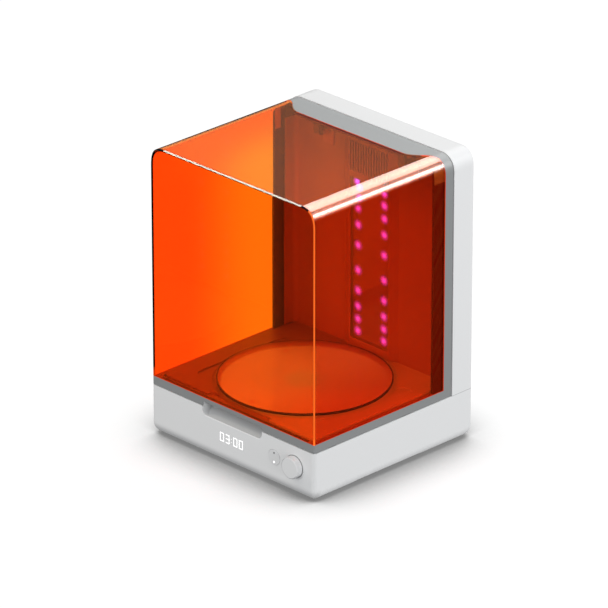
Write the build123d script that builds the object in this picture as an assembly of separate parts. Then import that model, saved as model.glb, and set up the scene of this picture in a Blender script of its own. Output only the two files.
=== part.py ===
"""Light curing unit for a dental laboratory: amber tilting lid on a white base and rear column.

Frame: millimetres, +Z up, front towards -Y, +X to the user's right.
Origin: on the resting surface, in the middle of the whole outline in X and Y.
"""
from build123d import *
import math
import os

# ---------------------------------------------------------------- overall casing
WIDTH = 267.6                 # across the base and the rear column
DEPTH = 257.4                 # base front face to column back
HEIGHT = 362.4                # resting surface to the top of the column
WALL = 2.8                    # moulded wall of the base and the column
SIDE_EDGE_R = 5.0             # rounding of the casing's upright edges
SEAM = 0.15                   # gap between panels that are set into each other

# ---------------------------------------------------------------- base
FOOT_LIFT = 1.0               # the feet hold the base this far off the surface
BASE_TOP = 62.2
BASE_EDGE_R = 12.8            # rounding of the base's bottom edge
ARCH_START = 57.2             # side arch: behind the front face
ARCH_LENGTH = 130.3
ARCH_RISE = 4.5
ARCH_RUN = 15.0
COVER_INSET = 19.0            # bottom cover's outline inside the casing's
COVER_CORNER_R = 10.0
LEDGE_DROP = 6.2              # inner ledge for the chamber floor, under the base's top
LEDGE_THICK = 2.5
LEDGE_REACH = 11.5            # from the outside of the casing

# ---------------------------------------------------------------- lid
LID_INSET = 0.7               # the lid's skin inside the casing's
LID_GAP = 0.7                 # under the lid
LID_REAR = 222.1              # back of the lid, behind the base front face
LID_BACK_GAP = 1.2            # lid to column
BAND_RISE = 10.9              # top of the grey band, above the base's top
BAND_WIDTH = 9.1
BAND_FLANGE = 2.5
BAND_CORNER_R = 2.5
HOOD_WALL = 3.0
HOOD_FRONT_WALL = 3.0
LID_BEND_R = 18.5             # outer bend between the lid's top and sides
POST_DEPTH = 12.1             # grey rear posts, front to back
POST_WIDTH = 7.0
CANOPY_DEPTH = 32.6           # grey canopy, front to back, at the middle
CANOPY_THICK = 2.4
CANOPY_SIDE = 48.8            # from the casing's side to where the canopy has its full depth
CANOPY_SWEEP = 39.0           # width of the curve from the canopy to the post
CHEEK_DEPTH = 16.9            # flange behind the hood's side walls
CHEEK_THICK = 3.2
CLAMP_WIDTH = 8.0
CLAMP_LENGTH = 26.0
CLAMP_DROP = 11.5             # under the casing's top
CLAMP_THICK = 1.0
LAP_REACH = 4.0               # ledge under the hood's rear edge
LAP_BACK = 3.0
LAP_THICK = 1.6
BUMPER_ROWS = (30.0, 150.0)   # soft pads under the lid, behind the front face
BUMPER_WIDTH = 2.4
BUMPER_LENGTH = 12.0
BUMPER_SLACK = 0.1

# ---------------------------------------------------------------- lid hinge
PIVOT_FROM_REAR = 16.5        # hinge axis in front of the lid's back
PIVOT_BELOW_TOP = 6.0         # hinge axis under the lid's top
HINGE_X = 68.4
HINGE_PIN_R = 1.5
HINGE_EYE_R = 3.1
HINGE_EYE_WIDTH = 9.0
HINGE_EAR_R = 3.5
HINGE_EAR_WIDTH = 4.0
HINGE_SIDE_GAP = 0.3
HINGE_BORE_GAP = 0.05
HINGE_ARM_DROP = 18.2         # arm under the axis, clear of the canopy's sweep
HINGE_ARM_THICK = 5.5
HINGE_FOOT_THICK = 2.0
HINGE_FOOT_HEIGHT = 22.0
HINGE_FOOT_WIDTH = 17.0

# ---------------------------------------------------------------- finger scoop
SCOOP_HALF = 49.0
SCOOP_DROP = 9.8              # scoop's low edge under the base's top
SCOOP_DEPTH = 18.0
SCOOP_CORNER_R = 7.0
SCOOP_FLAT = 3.0
SCOOP_CURVE = 4.2             # scoop's rise where it turns up
SCOOP_LINER = 2.2
LIP_THICK = 3.8               # grip lip on the lid's band, above the scoop
LIP_REACH = 16.0              # short enough to swing up in front of the disc

# ---------------------------------------------------------------- chamber floor
FLOOR_RISE = 12.8             # above the base's top
FLOOR_THICK = 2.5
FLOOR_GAP = 1.4               # floor to the lid's band
FLOOR_CORNER_R = 6.0
FLOOR_SKIRT = 2.0
RECESS_MARGIN = 4.5           # recess round the disc
RECESS_DEPTH = 2.5
POCKET_X = (-88.5, 101.0)     # middles of the two long pockets beside the turntable
POCKET_WIDTH = 24.5
POCKET_LENGTH = 146.0
POCKET_SHIFT = 7.1            # pockets' middle in front of the turntable axis
POCKET_DEPTH = 1.5

# ---------------------------------------------------------------- turntable
TABLE_BACK = 117.0            # turntable axis behind the base front face
DISC_R = 101.5
DISC_THICK = 3.0
DISC_RISE = 3.2               # above the floor
HUB_R = 22.0
HUB_THICK = 1.4
SPINDLE_R = 4.0
SPINDLE_LENGTH = 18.0
FLOOR_HOLE_R = 6.0
PAD_INSET = 18.5              # glide pads inside the disc's rim
PAD_R = 3.2
PAD_GAP = 0.3
MOTOR_R = 25.0
MOTOR_HEIGHT = 20.0
MOTOR_EAR_R = 5.0
MOTOR_EAR_OFFSET = 28.0

# ---------------------------------------------------------------- rear panel and light tower
PANEL_SETBACK = 1.0           # rear panel behind the column's front edge
PANEL_THICK = 1.5
PANEL_SIDE_GAP = 0.3
RETURN_INSET = 10.0           # side returns of the panel, inside the casing's side
RETURN_REACH = 17.0
RETURN_DROP = 27.0            # under the casing's top
PANEL_BEND_R = 6.0
TOWER_HALF = 32.9             # flat front of the light tower
TOWER_SLOPE = 10.1
TOWER_PROUD = 4.5
TOWER_DROP = 18.9             # under the casing's top
WINDOW_HALF = 30.6
WINDOW_RISE = 11.0            # above the chamber floor
WINDOW_DROP = 75.0            # under the casing's top
WINDOW_THICK = 2.0
WINDOW_CORNER_R = 2.0
EMITTER_X = 21.2
EMITTER_SPREAD = (0.157, 0.413, 0.613, 0.774, 0.923)  # of the window's half height, from the middle
EMITTER_SHIFT = 1.8           # middle of the emitters above the window's middle
EMITTER_SIZE = 3.5
EMITTER_HEIGHT = 1.4
BOARD_THICK = 1.6
VENT_COUNT = 15
VENT_PITCH = 4.2
VENT_WIDTH = 1.9
VENT_DROP = 30.0              # air slots under the casing's top
VENT_LENGTH = 37.0
REAR_VENT_LENGTH = 90.0
SINK_GAP = 1.5                # heat sink under the fan and its duct
SINK_BASE = 3.0
SINK_HALF = 47.0
SINK_FIN_REACH = 9.0
SINK_FIN_THICK = 1.4
SINK_FIN_COUNT = 9

# ---------------------------------------------------------------- exhaust fan
FAN_SIZE = 50.0
FAN_DEPTH = 15.0
FAN_CORNER_R = 4.0
FAN_BORE_R = 23.5
FAN_TIP_GAP = 1.0
FAN_HUB_R = 10.5
FAN_BLADES = 7
FAN_BLADE_THICK = 1.2
FAN_BLADE_DEPTH = 9.0
FAN_BLADE_PITCH = 38.0
FAN_STRUT_WIDTH = 3.0
FAN_STRUT_DEPTH = 2.5
FAN_SHAFT_R = 1.5
DUCT_WALL = 1.6
DUCT_HALF = 32.2
DUCT_MARGIN = 6.0             # duct above and below the air slots

# ---------------------------------------------------------------- front controls
CONTROL_DROP = 24.8           # knob and button under the base's top
FRONT_BOARD_BACK = 14.0       # front circuit board behind the base front face
FRONT_BOARD_FROM = -34.0
FRONT_BOARD_TO = 114.0
FRONT_BOARD_GAP = 1.2         # board's top edge under the finger scoop
KNOB_X = 102.1
KNOB_R = 13.0
KNOB_STANDOFF = 8.6
KNOB_GAP = 0.4
KNOB_EDGE_R = 1.2
KNOB_CAP = 2.5                # knob's wall in front of its shaft
SHAFT_R = 2.5
BUSH_R = 4.0
BUSH_CLEAR = 0.25
SHAFT_CLEAR = 0.05
ENCODER_SIZE = 12.0
ENCODER_DEPTH = 6.5
BUTTON_X = 69.1
BUTTON_R = 9.4
BUTTON_CLEAR = 0.25
BUTTON_PROUD = 0.3
BUTTON_TRAVEL = 0.8
BUTTON_FLANGE = 1.4
BUTTON_FLANGE_REACH = 1.2
BUTTON_FLANGE_GAP = 0.2
BUTTON_STEM_R = 3.0
BUTTON_LIGHT_DROP = 5.9
BUTTON_LIGHT_R = 1.3
BUTTON_DOT_RISE = 4.7
BUTTON_DOT_R = 0.8
SWITCH_SIZE = 6.0
SWITCH_DEPTH = 4.0
SWITCH_SLACK = 0.2            # beyond the button's travel
DISPLAY_X = -1.1
DISPLAY_DROP = 28.2           # digits' middle under the base's top
DISPLAY_WIDTH = 50.0
DISPLAY_HEIGHT = 19.0
DISPLAY_WINDOW_WALL = 0.8     # thinned wall that the digits shine through

# ---------------------------------------------------------------- rear connections
INLET_X = -78.0
INLET_Z = 34.0
INLET_WIDTH = 27.0
INLET_HEIGHT = 20.0
INLET_FLANGE = 4.0
INLET_DEPTH = 22.0
PIN_SPACING = 14.0
ROCKER_X = -38.0
ROCKER_WIDTH = 13.0
ROCKER_HEIGHT = 19.0
ROCKER_BODY_DEPTH = 16.0
ROCKER_TILT = 8.0
ROCKER_PIVOT_DEPTH = 10.6
ROCKER_PIN_R = 1.5
ROCKER_REACH = 9.5
ROCKER_DIP = 1.9
ROCKER_FLANGE = 3.0
FLANGE_THICK = 1.5

# ---------------------------------------------------------------- inside the base
MAIN_BOARD = (100.0, 84.0)
MAIN_BOARD_PLACE = (-50.0, 128.0)  # X, and behind the front face
STANDOFF_HEIGHT = 6.0
STANDOFF_R = 3.0
STANDOFF_INSET = 6.0
SUPPLY_SIZE = (86.0, 96.0)
SUPPLY_GAP = 7.7              # power supply under the turntable motor
SUPPLY_PLACE = (56.0, 126.0)
COVER_VENT_COUNT = 12
COVER_VENT_PITCH = 6.0
COVER_VENT_LENGTH = 46.0
COVER_VENT_BACK = 124.0       # behind the front face
FOOT_R = 9.0
SCREW_INSET = 25.8            # inside the casing's side
SCREW_ROWS = (38.0, 112.0, 204.0)  # behind the front face
SCREW_GRIP = 9.0
SCREW_R = 1.6
SCREW_HEAD_R = 3.2
SCREW_HEAD = 2.0
POST_R = 4.5

# ---------------------------------------------------------------- derived places
FRONT_Y = -(DEPTH - KNOB_STANDOFF) / 2
BACK_Y = FRONT_Y + DEPTH
HALF = WIDTH / 2
LID_HALF = HALF - LID_INSET
LID_TOP = HEIGHT - LID_INSET
LID_BOTTOM = BASE_TOP + LID_GAP
BAND_TOP = BASE_TOP + BAND_RISE
LEDGE_Z = BASE_TOP - LEDGE_DROP
SCOOP_BOTTOM = BASE_TOP - SCOOP_DROP
FLOOR_TOP = BASE_TOP + FLOOR_RISE
DISC_TOP = FLOOR_TOP + DISC_RISE
RECESS_R = DISC_R + RECESS_MARGIN
PAD_CIRCLE_R = DISC_R - PAD_INSET
CANOPY_HALF = HALF - CANOPY_SIDE
RETURN_HALF = HALF - RETURN_INSET
RETURN_TOP = HEIGHT - RETURN_DROP
TOWER_TOP = HEIGHT - TOWER_DROP
WINDOW_LOW = FLOOR_TOP + WINDOW_RISE
WINDOW_HIGH = HEIGHT - WINDOW_DROP
VENT_Z = HEIGHT - VENT_DROP - VENT_LENGTH / 2
CLAMP_TOP = HEIGHT - CLAMP_DROP
SCREW_X = HALF - SCREW_INSET
CONTROL_Z = BASE_TOP - CONTROL_DROP
DISPLAY_Z = BASE_TOP - DISPLAY_DROP
COLUMN_BEND_R = LID_BEND_R + LID_INSET


def behind(distance):
    """Y of a plane that lies this far behind the base's front face."""
    return FRONT_Y + distance


LID_FRONT_Y = behind(LID_INSET)
LID_REAR_Y = behind(LID_REAR)
COLUMN_FRONT_Y = LID_REAR_Y + LID_BACK_GAP
PANEL_Y = COLUMN_FRONT_Y + PANEL_SETBACK
TOWER_Y = PANEL_Y - TOWER_PROUD
POST_FRONT_Y = LID_REAR_Y - POST_DEPTH
CANOPY_FRONT_Y = LID_REAR_Y - CANOPY_DEPTH
PIVOT_Y = LID_REAR_Y - PIVOT_FROM_REAR
PIVOT_Z = LID_TOP - PIVOT_BELOW_TOP
TABLE_Y = behind(TABLE_BACK)
FLOOR_HALF = LID_HALF - BAND_WIDTH - FLOOR_GAP
FLOOR_FRONT_Y = LID_FRONT_Y + BAND_WIDTH + FLOOR_GAP
COVER_Z = FOOT_LIFT + WALL
RECESS_Z = FLOOR_TOP - RECESS_DEPTH
WINDOW_BACK_Y = TOWER_Y + WINDOW_THICK
SINK_Y = PANEL_Y + PANEL_THICK
LED_BOARD_Y = SINK_Y - BOARD_THICK
FAN_BACK_Y = BACK_Y - WALL
FAN_FRONT_Y = FAN_BACK_Y - FAN_DEPTH


# ---------------------------------------------------------------- helpers
def block(x0, x1, y0, y1, z0, z1):
    """Box between two corners."""
    centre = Pos((x0 + x1) / 2, (y0 + y1) / 2, (z0 + z1) / 2)
    return centre * Box(x1 - x0, y1 - y0, z1 - z0)


def plan(sketch, z0, z1):
    """Prism of an (x, y) sketch between two heights."""
    return extrude(Pos(0, 0, z0) * sketch, amount=z1 - z0)


def front_view(sketch, y0, y1):
    """Prism of an (x, z) sketch between two depths."""
    plane = Plane((0, y0, 0), x_dir=(1, 0, 0), z_dir=(0, -1, 0))
    return extrude(plane * sketch, amount=-(y1 - y0))


def side_view(sketch, x0, x1):
    """Prism of a (y, z) sketch between two sides."""
    plane = Plane((x0, 0, 0), x_dir=(0, 1, 0), z_dir=(1, 0, 0))
    return extrude(plane * sketch, amount=x1 - x0)


def outline(*points):
    """Closed face through the points."""
    return make_face(Polyline(*points, close=True))


def rod_y(x, z, radius, y0, y1):
    """Round rod along Y."""
    return front_view(Pos(x, z) * Circle(radius), y0, y1)


def rod_z(x, y, radius, z0, z1):
    """Round rod along Z."""
    return plan(Pos(x, y) * Circle(radius), z0, z1)


def both_sides(shape):
    """A shape and its mirror image across the middle plane, as separate solids."""
    return Compound([*shape.solids(), *mirror(shape, Plane.YZ).solids()])


def arch_profile(half_width, z_bottom, top, radius):
    """Upright rectangle with two round top corners, open sides down, in (x, z)."""
    height = top - z_bottom
    face = Pos(0, z_bottom + height / 2) * Rectangle(2 * half_width, height)
    corners = face.vertices().sort_by(Axis.Y)[-2:]
    return fillet(corners, radius)


# ---------------------------------------------------------------- base
def casing_form(inset):
    """Rounded tub form of the base, moved inwards by an inset."""
    low = FOOT_LIFT + inset
    high = BASE_TOP + inset
    body = block(-HALF + inset, HALF - inset, FRONT_Y + inset, BACK_Y - inset, low, high)
    body = fillet(body.edges().group_by(Axis.Z)[0], BASE_EDGE_R - inset)
    body = fillet(body.edges().filter_by(Axis.Z), max(SIDE_EDGE_R - inset, 1.0))
    start = behind(ARCH_START)
    end = start + ARCH_LENGTH
    rise = low + ARCH_RISE
    arch = outline(
        (start, low - 1), (start, low), (start + ARCH_RUN, rise),
        (end - ARCH_RUN, rise), (end, low), (end, low - 1)
    )
    return body - side_view(arch, -HALF, HALF)


def cover_outline(gap):
    """Outline of the bottom cover, smaller by a gap."""
    reach = COVER_INSET + gap
    face = RectangleRounded(WIDTH - 2 * reach, DEPTH - 2 * reach, COVER_CORNER_R)
    return Pos(0, FRONT_Y + DEPTH / 2) * face


def scoop_section(grow):
    """Side section of the finger scoop, larger by a wall."""
    low = SCOOP_BOTTOM - grow
    depth = SCOOP_DEPTH + grow
    front = FRONT_Y - 1
    back = behind(depth)
    rise = BASE_TOP + SEAM
    edge = [
        Line((front, rise), (front, low)),
        Line((front, low), (behind(SCOOP_FLAT), low)),
        Spline(
            (behind(SCOOP_FLAT), low), (behind(depth * 0.72), low + SCOOP_CURVE), (back, BASE_TOP),
            tangents=((1, 0), (0.25, 1))
        ),
        Line((back, BASE_TOP), (back, rise)),
        Line((back, rise), (front, rise)),
    ]
    return make_face(edge)


def scoop_form(grow):
    """Room for the fingers under the lid's grip lip."""
    half = SCOOP_HALF + grow
    low = SCOOP_BOTTOM - grow
    face = Pos(0, low + 20) * Rectangle(2 * half, 40)
    face = fillet(face.vertices().sort_by(Axis.Y)[:2], SCOOP_CORNER_R + grow)
    mouth = front_view(face, FRONT_Y - 1, behind(SCOOP_DEPTH + grow + 1))
    return mouth & side_view(scoop_section(grow), -half, half)


def inlet_flange(gap):
    """Front outline of the mains inlet's flange."""
    reach = 2 * (INLET_FLANGE + gap)
    return Pos(INLET_X, INLET_Z) * RectangleRounded(INLET_WIDTH + reach, INLET_HEIGHT + reach, 2)


def rocker_flange(gap):
    """Front outline of the mains switch's flange."""
    reach = 2 * (ROCKER_FLANGE + gap)
    return Pos(ROCKER_X, INLET_Z) * RectangleRounded(ROCKER_WIDTH + reach, ROCKER_HEIGHT + reach, 1.5)


def base_shell():
    """White base: rounded tub with the finger scoop and the holes for the controls."""
    shell = casing_form(0) - casing_form(WALL)
    shell -= plan(cover_outline(0), 0, COVER_Z + ARCH_RISE + 1)
    ledge = Pos(0, FRONT_Y + DEPTH / 2) * Rectangle(WIDTH - 2 * WALL, DEPTH - 2 * WALL)
    inside = Rectangle(WIDTH - 2 * LEDGE_REACH, DEPTH - 2 * LEDGE_REACH)
    ledge -= Pos(0, FRONT_Y + DEPTH / 2) * inside
    ledge_ring = plan(ledge, LEDGE_Z, LEDGE_Z + LEDGE_THICK)
    shell += ledge_ring & casing_form(WALL / 2)
    liner = scoop_form(SCOOP_LINER) & casing_form(0)
    shell += liner
    shell -= scoop_form(0)
    shell -= rod_y(KNOB_X, CONTROL_Z, BUSH_R + BUSH_CLEAR, FRONT_Y - 1, behind(WALL + 1))
    shell -= rod_y(BUTTON_X, CONTROL_Z, BUTTON_R + BUTTON_CLEAR, FRONT_Y - 1, behind(WALL + 1))
    window = Pos(DISPLAY_X, DISPLAY_Z) * Rectangle(DISPLAY_WIDTH, DISPLAY_HEIGHT)
    shell -= front_view(window, behind(DISPLAY_WINDOW_WALL), behind(WALL + 1))
    inlet = Pos(INLET_X, INLET_Z) * Rectangle(INLET_WIDTH, INLET_HEIGHT)
    rocker = Pos(ROCKER_X, INLET_Z) * Rectangle(ROCKER_WIDTH + 2, ROCKER_HEIGHT + 2)
    shell -= front_view(inlet, BACK_Y - WALL - 1, BACK_Y + 1)
    shell -= front_view(rocker, BACK_Y - WALL - 1, BACK_Y + 1)
    shell -= front_view(inlet_flange(SEAM), BACK_Y - FLANGE_THICK, BACK_Y + 1)
    shell -= front_view(rocker_flange(SEAM), BACK_Y - FLANGE_THICK, BACK_Y + 1)
    return shell


def foot_places():
    """Centres of the four feet."""
    reach = COVER_INSET + COVER_CORNER_R + FOOT_R
    xs = (-HALF + reach, HALF - reach)
    ys = (FRONT_Y + reach, BACK_Y - reach)
    return [(x, y) for x in xs for y in ys]


def screw_places():
    """Centres of the six case screws."""
    return [(x, behind(row)) for x in (-SCREW_X, SCREW_X) for row in SCREW_ROWS]


def cover_level(y):
    """Inside height of the bottom cover at a depth."""
    start = behind(ARCH_START)
    in_arch = start < y < start + ARCH_LENGTH
    return COVER_Z + (ARCH_RISE if in_arch else 0)


def bottom_cover():
    """Cover that closes the base from below, with air slots, foot seats and screw posts."""
    cover = (casing_form(0) - casing_form(WALL)) & plan(cover_outline(SEAM), 0, COVER_Z + ARCH_RISE + 1)
    slots = Sketch()
    for index in range(COVER_VENT_COUNT):
        x = (index - (COVER_VENT_COUNT - 1) / 2) * COVER_VENT_PITCH
        slots += Pos(x, behind(COVER_VENT_BACK)) * Rectangle(COVER_VENT_PITCH / 2, COVER_VENT_LENGTH)
    cover -= plan(slots, 0, COVER_Z + ARCH_RISE + 1)
    for x, y in foot_places():
        cover -= rod_z(x, y, FOOT_R + SEAM, 0, FOOT_LIFT + 1)
    for x, y in screw_places():
        level = cover_level(y)
        cover -= rod_z(x, y, SCREW_HEAD_R + 0.3, 0, level - WALL + 1)
        cover -= rod_z(x, y, SCREW_R + 0.3, 0, level + 1)
    return cover


def rubber_feet():
    """Four round feet set into the bottom cover."""
    feet = []
    for x, y in foot_places():
        foot = rod_z(x, y, FOOT_R, 0, FOOT_LIFT + 1)
        feet.append(fillet(foot.edges().group_by(Axis.Z)[0], 0.6).solid())
    return Compound(feet)


def case_screws():
    """Six screws that hold the bottom cover to the chamber floor's posts."""
    screws = []
    for x, y in screw_places():
        level = cover_level(y)
        head_top = level - WALL + 1
        screw = rod_z(x, y, SCREW_HEAD_R, head_top - SCREW_HEAD + 1, head_top)
        screw += rod_z(x, y, SCREW_R, head_top, level + SCREW_GRIP)
        screws.append(screw.solid())
    return Compound(screws)


def chamber_floor():
    """Floor of the curing chamber: raised deck, skirt, turntable recess, pockets and screw posts."""
    rear = PANEL_Y
    depth = rear - FLOOR_FRONT_Y
    face = Pos(0, FLOOR_FRONT_Y + depth / 2) * Rectangle(2 * FLOOR_HALF, depth)
    face = fillet(face.vertices().sort_by(Axis.Y)[:2], FLOOR_CORNER_R)
    notch_back = LID_FRONT_Y + LIP_REACH + FLOOR_GAP
    notch = Rectangle(2 * (SCOOP_HALF + FLOOR_GAP), 2 * (notch_back - FLOOR_FRONT_Y))
    notch = fillet(notch.vertices(), 4)
    face -= Pos(0, FLOOR_FRONT_Y) * notch
    inner = offset(face, -FLOOR_SKIRT)
    skirt_foot = LEDGE_Z + LEDGE_THICK
    floor = plan(face, skirt_foot, FLOOR_TOP)
    floor -= plan(inner, skirt_foot, RECESS_Z - FLOOR_THICK)
    floor = fillet(floor.edges().filter_by(GeomType.LINE).group_by(Axis.Z)[-1].filter_by(Axis.Y), 0.8)
    floor -= rod_z(0, TABLE_Y, RECESS_R, RECESS_Z, FLOOR_TOP + 1)
    pocket = SlotOverall(POCKET_LENGTH, POCKET_WIDTH, rotation=90)
    for x in POCKET_X:
        floor -= plan(Pos(x, TABLE_Y - POCKET_SHIFT) * pocket, FLOOR_TOP - POCKET_DEPTH, FLOOR_TOP + 1)
    floor -= rod_z(0, TABLE_Y, FLOOR_HOLE_R, 0, FLOOR_TOP)
    liner_half = SCOOP_HALF + SCOOP_LINER + SEAM
    liner_back = behind(SCOOP_DEPTH + SCOOP_LINER + 1)
    floor -= block(-liner_half, liner_half, FLOOR_FRONT_Y - 1, liner_back, skirt_foot - 1, BASE_TOP + SEAM)
    for x, y in screw_places():
        floor += rod_z(x, y, POST_R, cover_level(y), RECESS_Z - FLOOR_THICK)
        floor -= rod_z(x, y, SCREW_R, cover_level(y) - 1, cover_level(y) + SCREW_GRIP)
    return floor


def glide_pads():
    """Three small domes that steady the glass disc."""
    height = DISC_TOP - DISC_THICK - PAD_GAP - RECESS_Z
    pads = []
    for angle in (-90, 30, 150):
        x = PAD_CIRCLE_R * math.cos(math.radians(angle))
        y = TABLE_Y + PAD_CIRCLE_R * math.sin(math.radians(angle))
        pad = rod_z(x, y, PAD_R, RECESS_Z, RECESS_Z + height)
        pads.append(fillet(pad.edges().group_by(Axis.Z)[-1], min(height, PAD_R) * 0.8).solid())
    return Compound(pads)


# ---------------------------------------------------------------- rear column
def column_shell():
    """White rear column: one bent cover with a closed back and two fields of air slots."""
    outer = front_view(arch_profile(HALF, BASE_TOP, HEIGHT, COLUMN_BEND_R), COLUMN_FRONT_Y, BACK_Y)
    rear_edges = outer.faces().sort_by(Axis.Y)[-1].edges().filter_by(
        lambda edge: edge.center().Z > BASE_TOP + 1
    )
    outer = fillet(rear_edges, SIDE_EDGE_R)
    inner = arch_profile(HALF - WALL, BASE_TOP - 1, HEIGHT - WALL, COLUMN_BEND_R - WALL)
    shell = outer - front_view(inner, COLUMN_FRONT_Y - 1, BACK_Y - WALL)
    slots = Sketch()
    for index in range(VENT_COUNT):
        x = (index - (VENT_COUNT - 1) / 2) * VENT_PITCH
        slots += Pos(x, VENT_Z) * Rectangle(VENT_WIDTH, VENT_LENGTH)
        slots += Pos(x, (WINDOW_LOW + WINDOW_HIGH) / 2) * Rectangle(VENT_WIDTH, REAR_VENT_LENGTH)
    shell -= front_view(slots, BACK_Y - WALL - 1, BACK_Y + 1)
    return shell


def rear_panel():
    """Reflecting rear panel with the light tower, its window opening, air slots and side returns."""
    low = FLOOR_TOP + SEAM
    high = HEIGHT - WALL - PANEL_SIDE_GAP
    back = PANEL_Y + PANEL_THICK
    flat = front_view(
        arch_profile(HALF - WALL - PANEL_SIDE_GAP, low, high, COLUMN_BEND_R - WALL), PANEL_Y, back
    )
    foot = TOWER_HALF + TOWER_SLOPE
    tower_outer = outline(
        (-foot, PANEL_Y), (-TOWER_HALF, TOWER_Y), (TOWER_HALF, TOWER_Y), (foot, PANEL_Y),
        (foot, back), (-foot, back)
    )
    hollow_half = TOWER_HALF - PANEL_THICK * 0.25
    tower_inner = outline(
        (-hollow_half - TOWER_SLOPE, back), (-hollow_half, TOWER_Y + PANEL_THICK),
        (hollow_half, TOWER_Y + PANEL_THICK), (hollow_half + TOWER_SLOPE, back)
    )
    tower = plan(tower_outer, low, TOWER_TOP)
    tower_edge = tower.edges().filter_by(Axis.X).group_by(Axis.Z)[-1].sort_by(Axis.Y)[0]
    tower = chamfer(tower_edge, TOWER_PROUD - 0.2)
    panel = flat + tower
    panel -= plan(tower_inner, low - 1, TOWER_TOP - TOWER_PROUD + 0.3)
    returns = block(
        RETURN_HALF, RETURN_HALF + PANEL_THICK, PANEL_Y - RETURN_REACH, back, low, RETURN_TOP
    )
    bend = block(
        RETURN_HALF - PANEL_BEND_R, RETURN_HALF, PANEL_Y - PANEL_BEND_R, PANEL_Y, low, RETURN_TOP
    )
    bend -= rod_z(RETURN_HALF - PANEL_BEND_R, PANEL_Y - PANEL_BEND_R, PANEL_BEND_R, low, RETURN_TOP)
    for side in (returns, bend):
        panel += side
        panel += mirror(side, Plane.YZ)
    window = Pos(0, (WINDOW_LOW + WINDOW_HIGH) / 2) * RectangleRounded(
        2 * WINDOW_HALF, WINDOW_HIGH - WINDOW_LOW, WINDOW_CORNER_R
    )
    panel -= front_view(window, TOWER_Y - 1, back + 1)
    slots = Sketch()
    for index in range(VENT_COUNT):
        x = (index - (VENT_COUNT - 1) / 2) * VENT_PITCH
        slots += Pos(x, VENT_Z) * Rectangle(VENT_WIDTH, VENT_LENGTH)
    panel -= front_view(slots, TOWER_Y - 1, back + 1)
    return panel


def led_window():
    """Clear cover of the light tower."""
    height = WINDOW_HIGH - WINDOW_LOW - 2 * SEAM
    face = Pos(0, (WINDOW_LOW + WINDOW_HIGH) / 2) * RectangleRounded(
        2 * (WINDOW_HALF - SEAM), height, WINDOW_CORNER_R
    )
    return front_view(face, TOWER_Y, WINDOW_BACK_Y)


def led_board():
    """Circuit board behind the window, with its edges against the tower's inside."""
    return block(
        -WINDOW_HALF, WINDOW_HALF, LED_BOARD_Y, LED_BOARD_Y + BOARD_THICK, WINDOW_LOW, WINDOW_HIGH
    )


def led_emitters():
    """Two columns of light emitters on the board."""
    middle = (WINDOW_LOW + WINDOW_HIGH) / 2 + EMITTER_SHIFT
    reach = (WINDOW_HIGH - WINDOW_LOW) / 2
    half = EMITTER_SIZE / 2
    front = LED_BOARD_Y - EMITTER_HEIGHT
    emitters = []
    for x in (-EMITTER_X, EMITTER_X):
        for step in EMITTER_SPREAD:
            for z in (middle - step * reach, middle + step * reach):
                emitters.append(block(x - half, x + half, front, LED_BOARD_Y, z - half, z + half).solid())
    return Compound(emitters)


def led_heat_sink():
    """Finned extrusion on the back of the light board."""
    low = WINDOW_LOW
    high = VENT_Z - max(FAN_SIZE, VENT_LENGTH + 2 * DUCT_MARGIN) / 2 - SINK_GAP
    sink = block(-SINK_HALF, SINK_HALF, SINK_Y, SINK_Y + SINK_BASE, low, high)
    pitch = (2 * WINDOW_HALF - SINK_FIN_THICK) / (SINK_FIN_COUNT - 1)
    for index in range(SINK_FIN_COUNT):
        x = -WINDOW_HALF + index * pitch
        sink += block(x, x + SINK_FIN_THICK, SINK_Y, SINK_Y + SINK_BASE + SINK_FIN_REACH, low, high)
    return sink


def fan_duct():
    """Square duct from the tower's air slots to the exhaust fan."""
    half = VENT_LENGTH / 2 + DUCT_MARGIN
    inner = half - DUCT_WALL
    wide = DUCT_HALF - DUCT_WALL
    front = TOWER_Y + PANEL_THICK
    duct = block(-DUCT_HALF, DUCT_HALF, front, FAN_FRONT_Y, VENT_Z - half, VENT_Z + half)
    duct -= block(-wide, wide, front - 1, FAN_FRONT_Y - DUCT_WALL, VENT_Z - inner, VENT_Z + inner)
    return duct - rod_y(0, VENT_Z, min(FAN_BORE_R, inner), FAN_FRONT_Y - 2 * DUCT_WALL, FAN_FRONT_Y + 1)


def fan_frame():
    """Square frame of the exhaust fan, with four struts and the motor cup."""
    face = Pos(0, VENT_Z) * RectangleRounded(FAN_SIZE, FAN_SIZE, FAN_CORNER_R)
    frame = front_view(face, FAN_FRONT_Y, FAN_BACK_Y)
    frame -= rod_y(0, VENT_Z, FAN_BORE_R, FAN_FRONT_Y - 1, FAN_BACK_Y + 1)
    strut_front = FAN_BACK_Y - FAN_STRUT_DEPTH
    struts = Pos(0, VENT_Z) * (
        Rectangle(2 * FAN_BORE_R + 1, FAN_STRUT_WIDTH, rotation=45)
        + Rectangle(2 * FAN_BORE_R + 1, FAN_STRUT_WIDTH, rotation=-45)
    )
    frame += front_view(struts, strut_front, FAN_BACK_Y)
    frame += rod_y(0, VENT_Z, FAN_HUB_R, strut_front, FAN_BACK_Y)
    frame += rod_y(0, VENT_Z, FAN_SHAFT_R, strut_front - 6, strut_front)
    return frame


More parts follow.
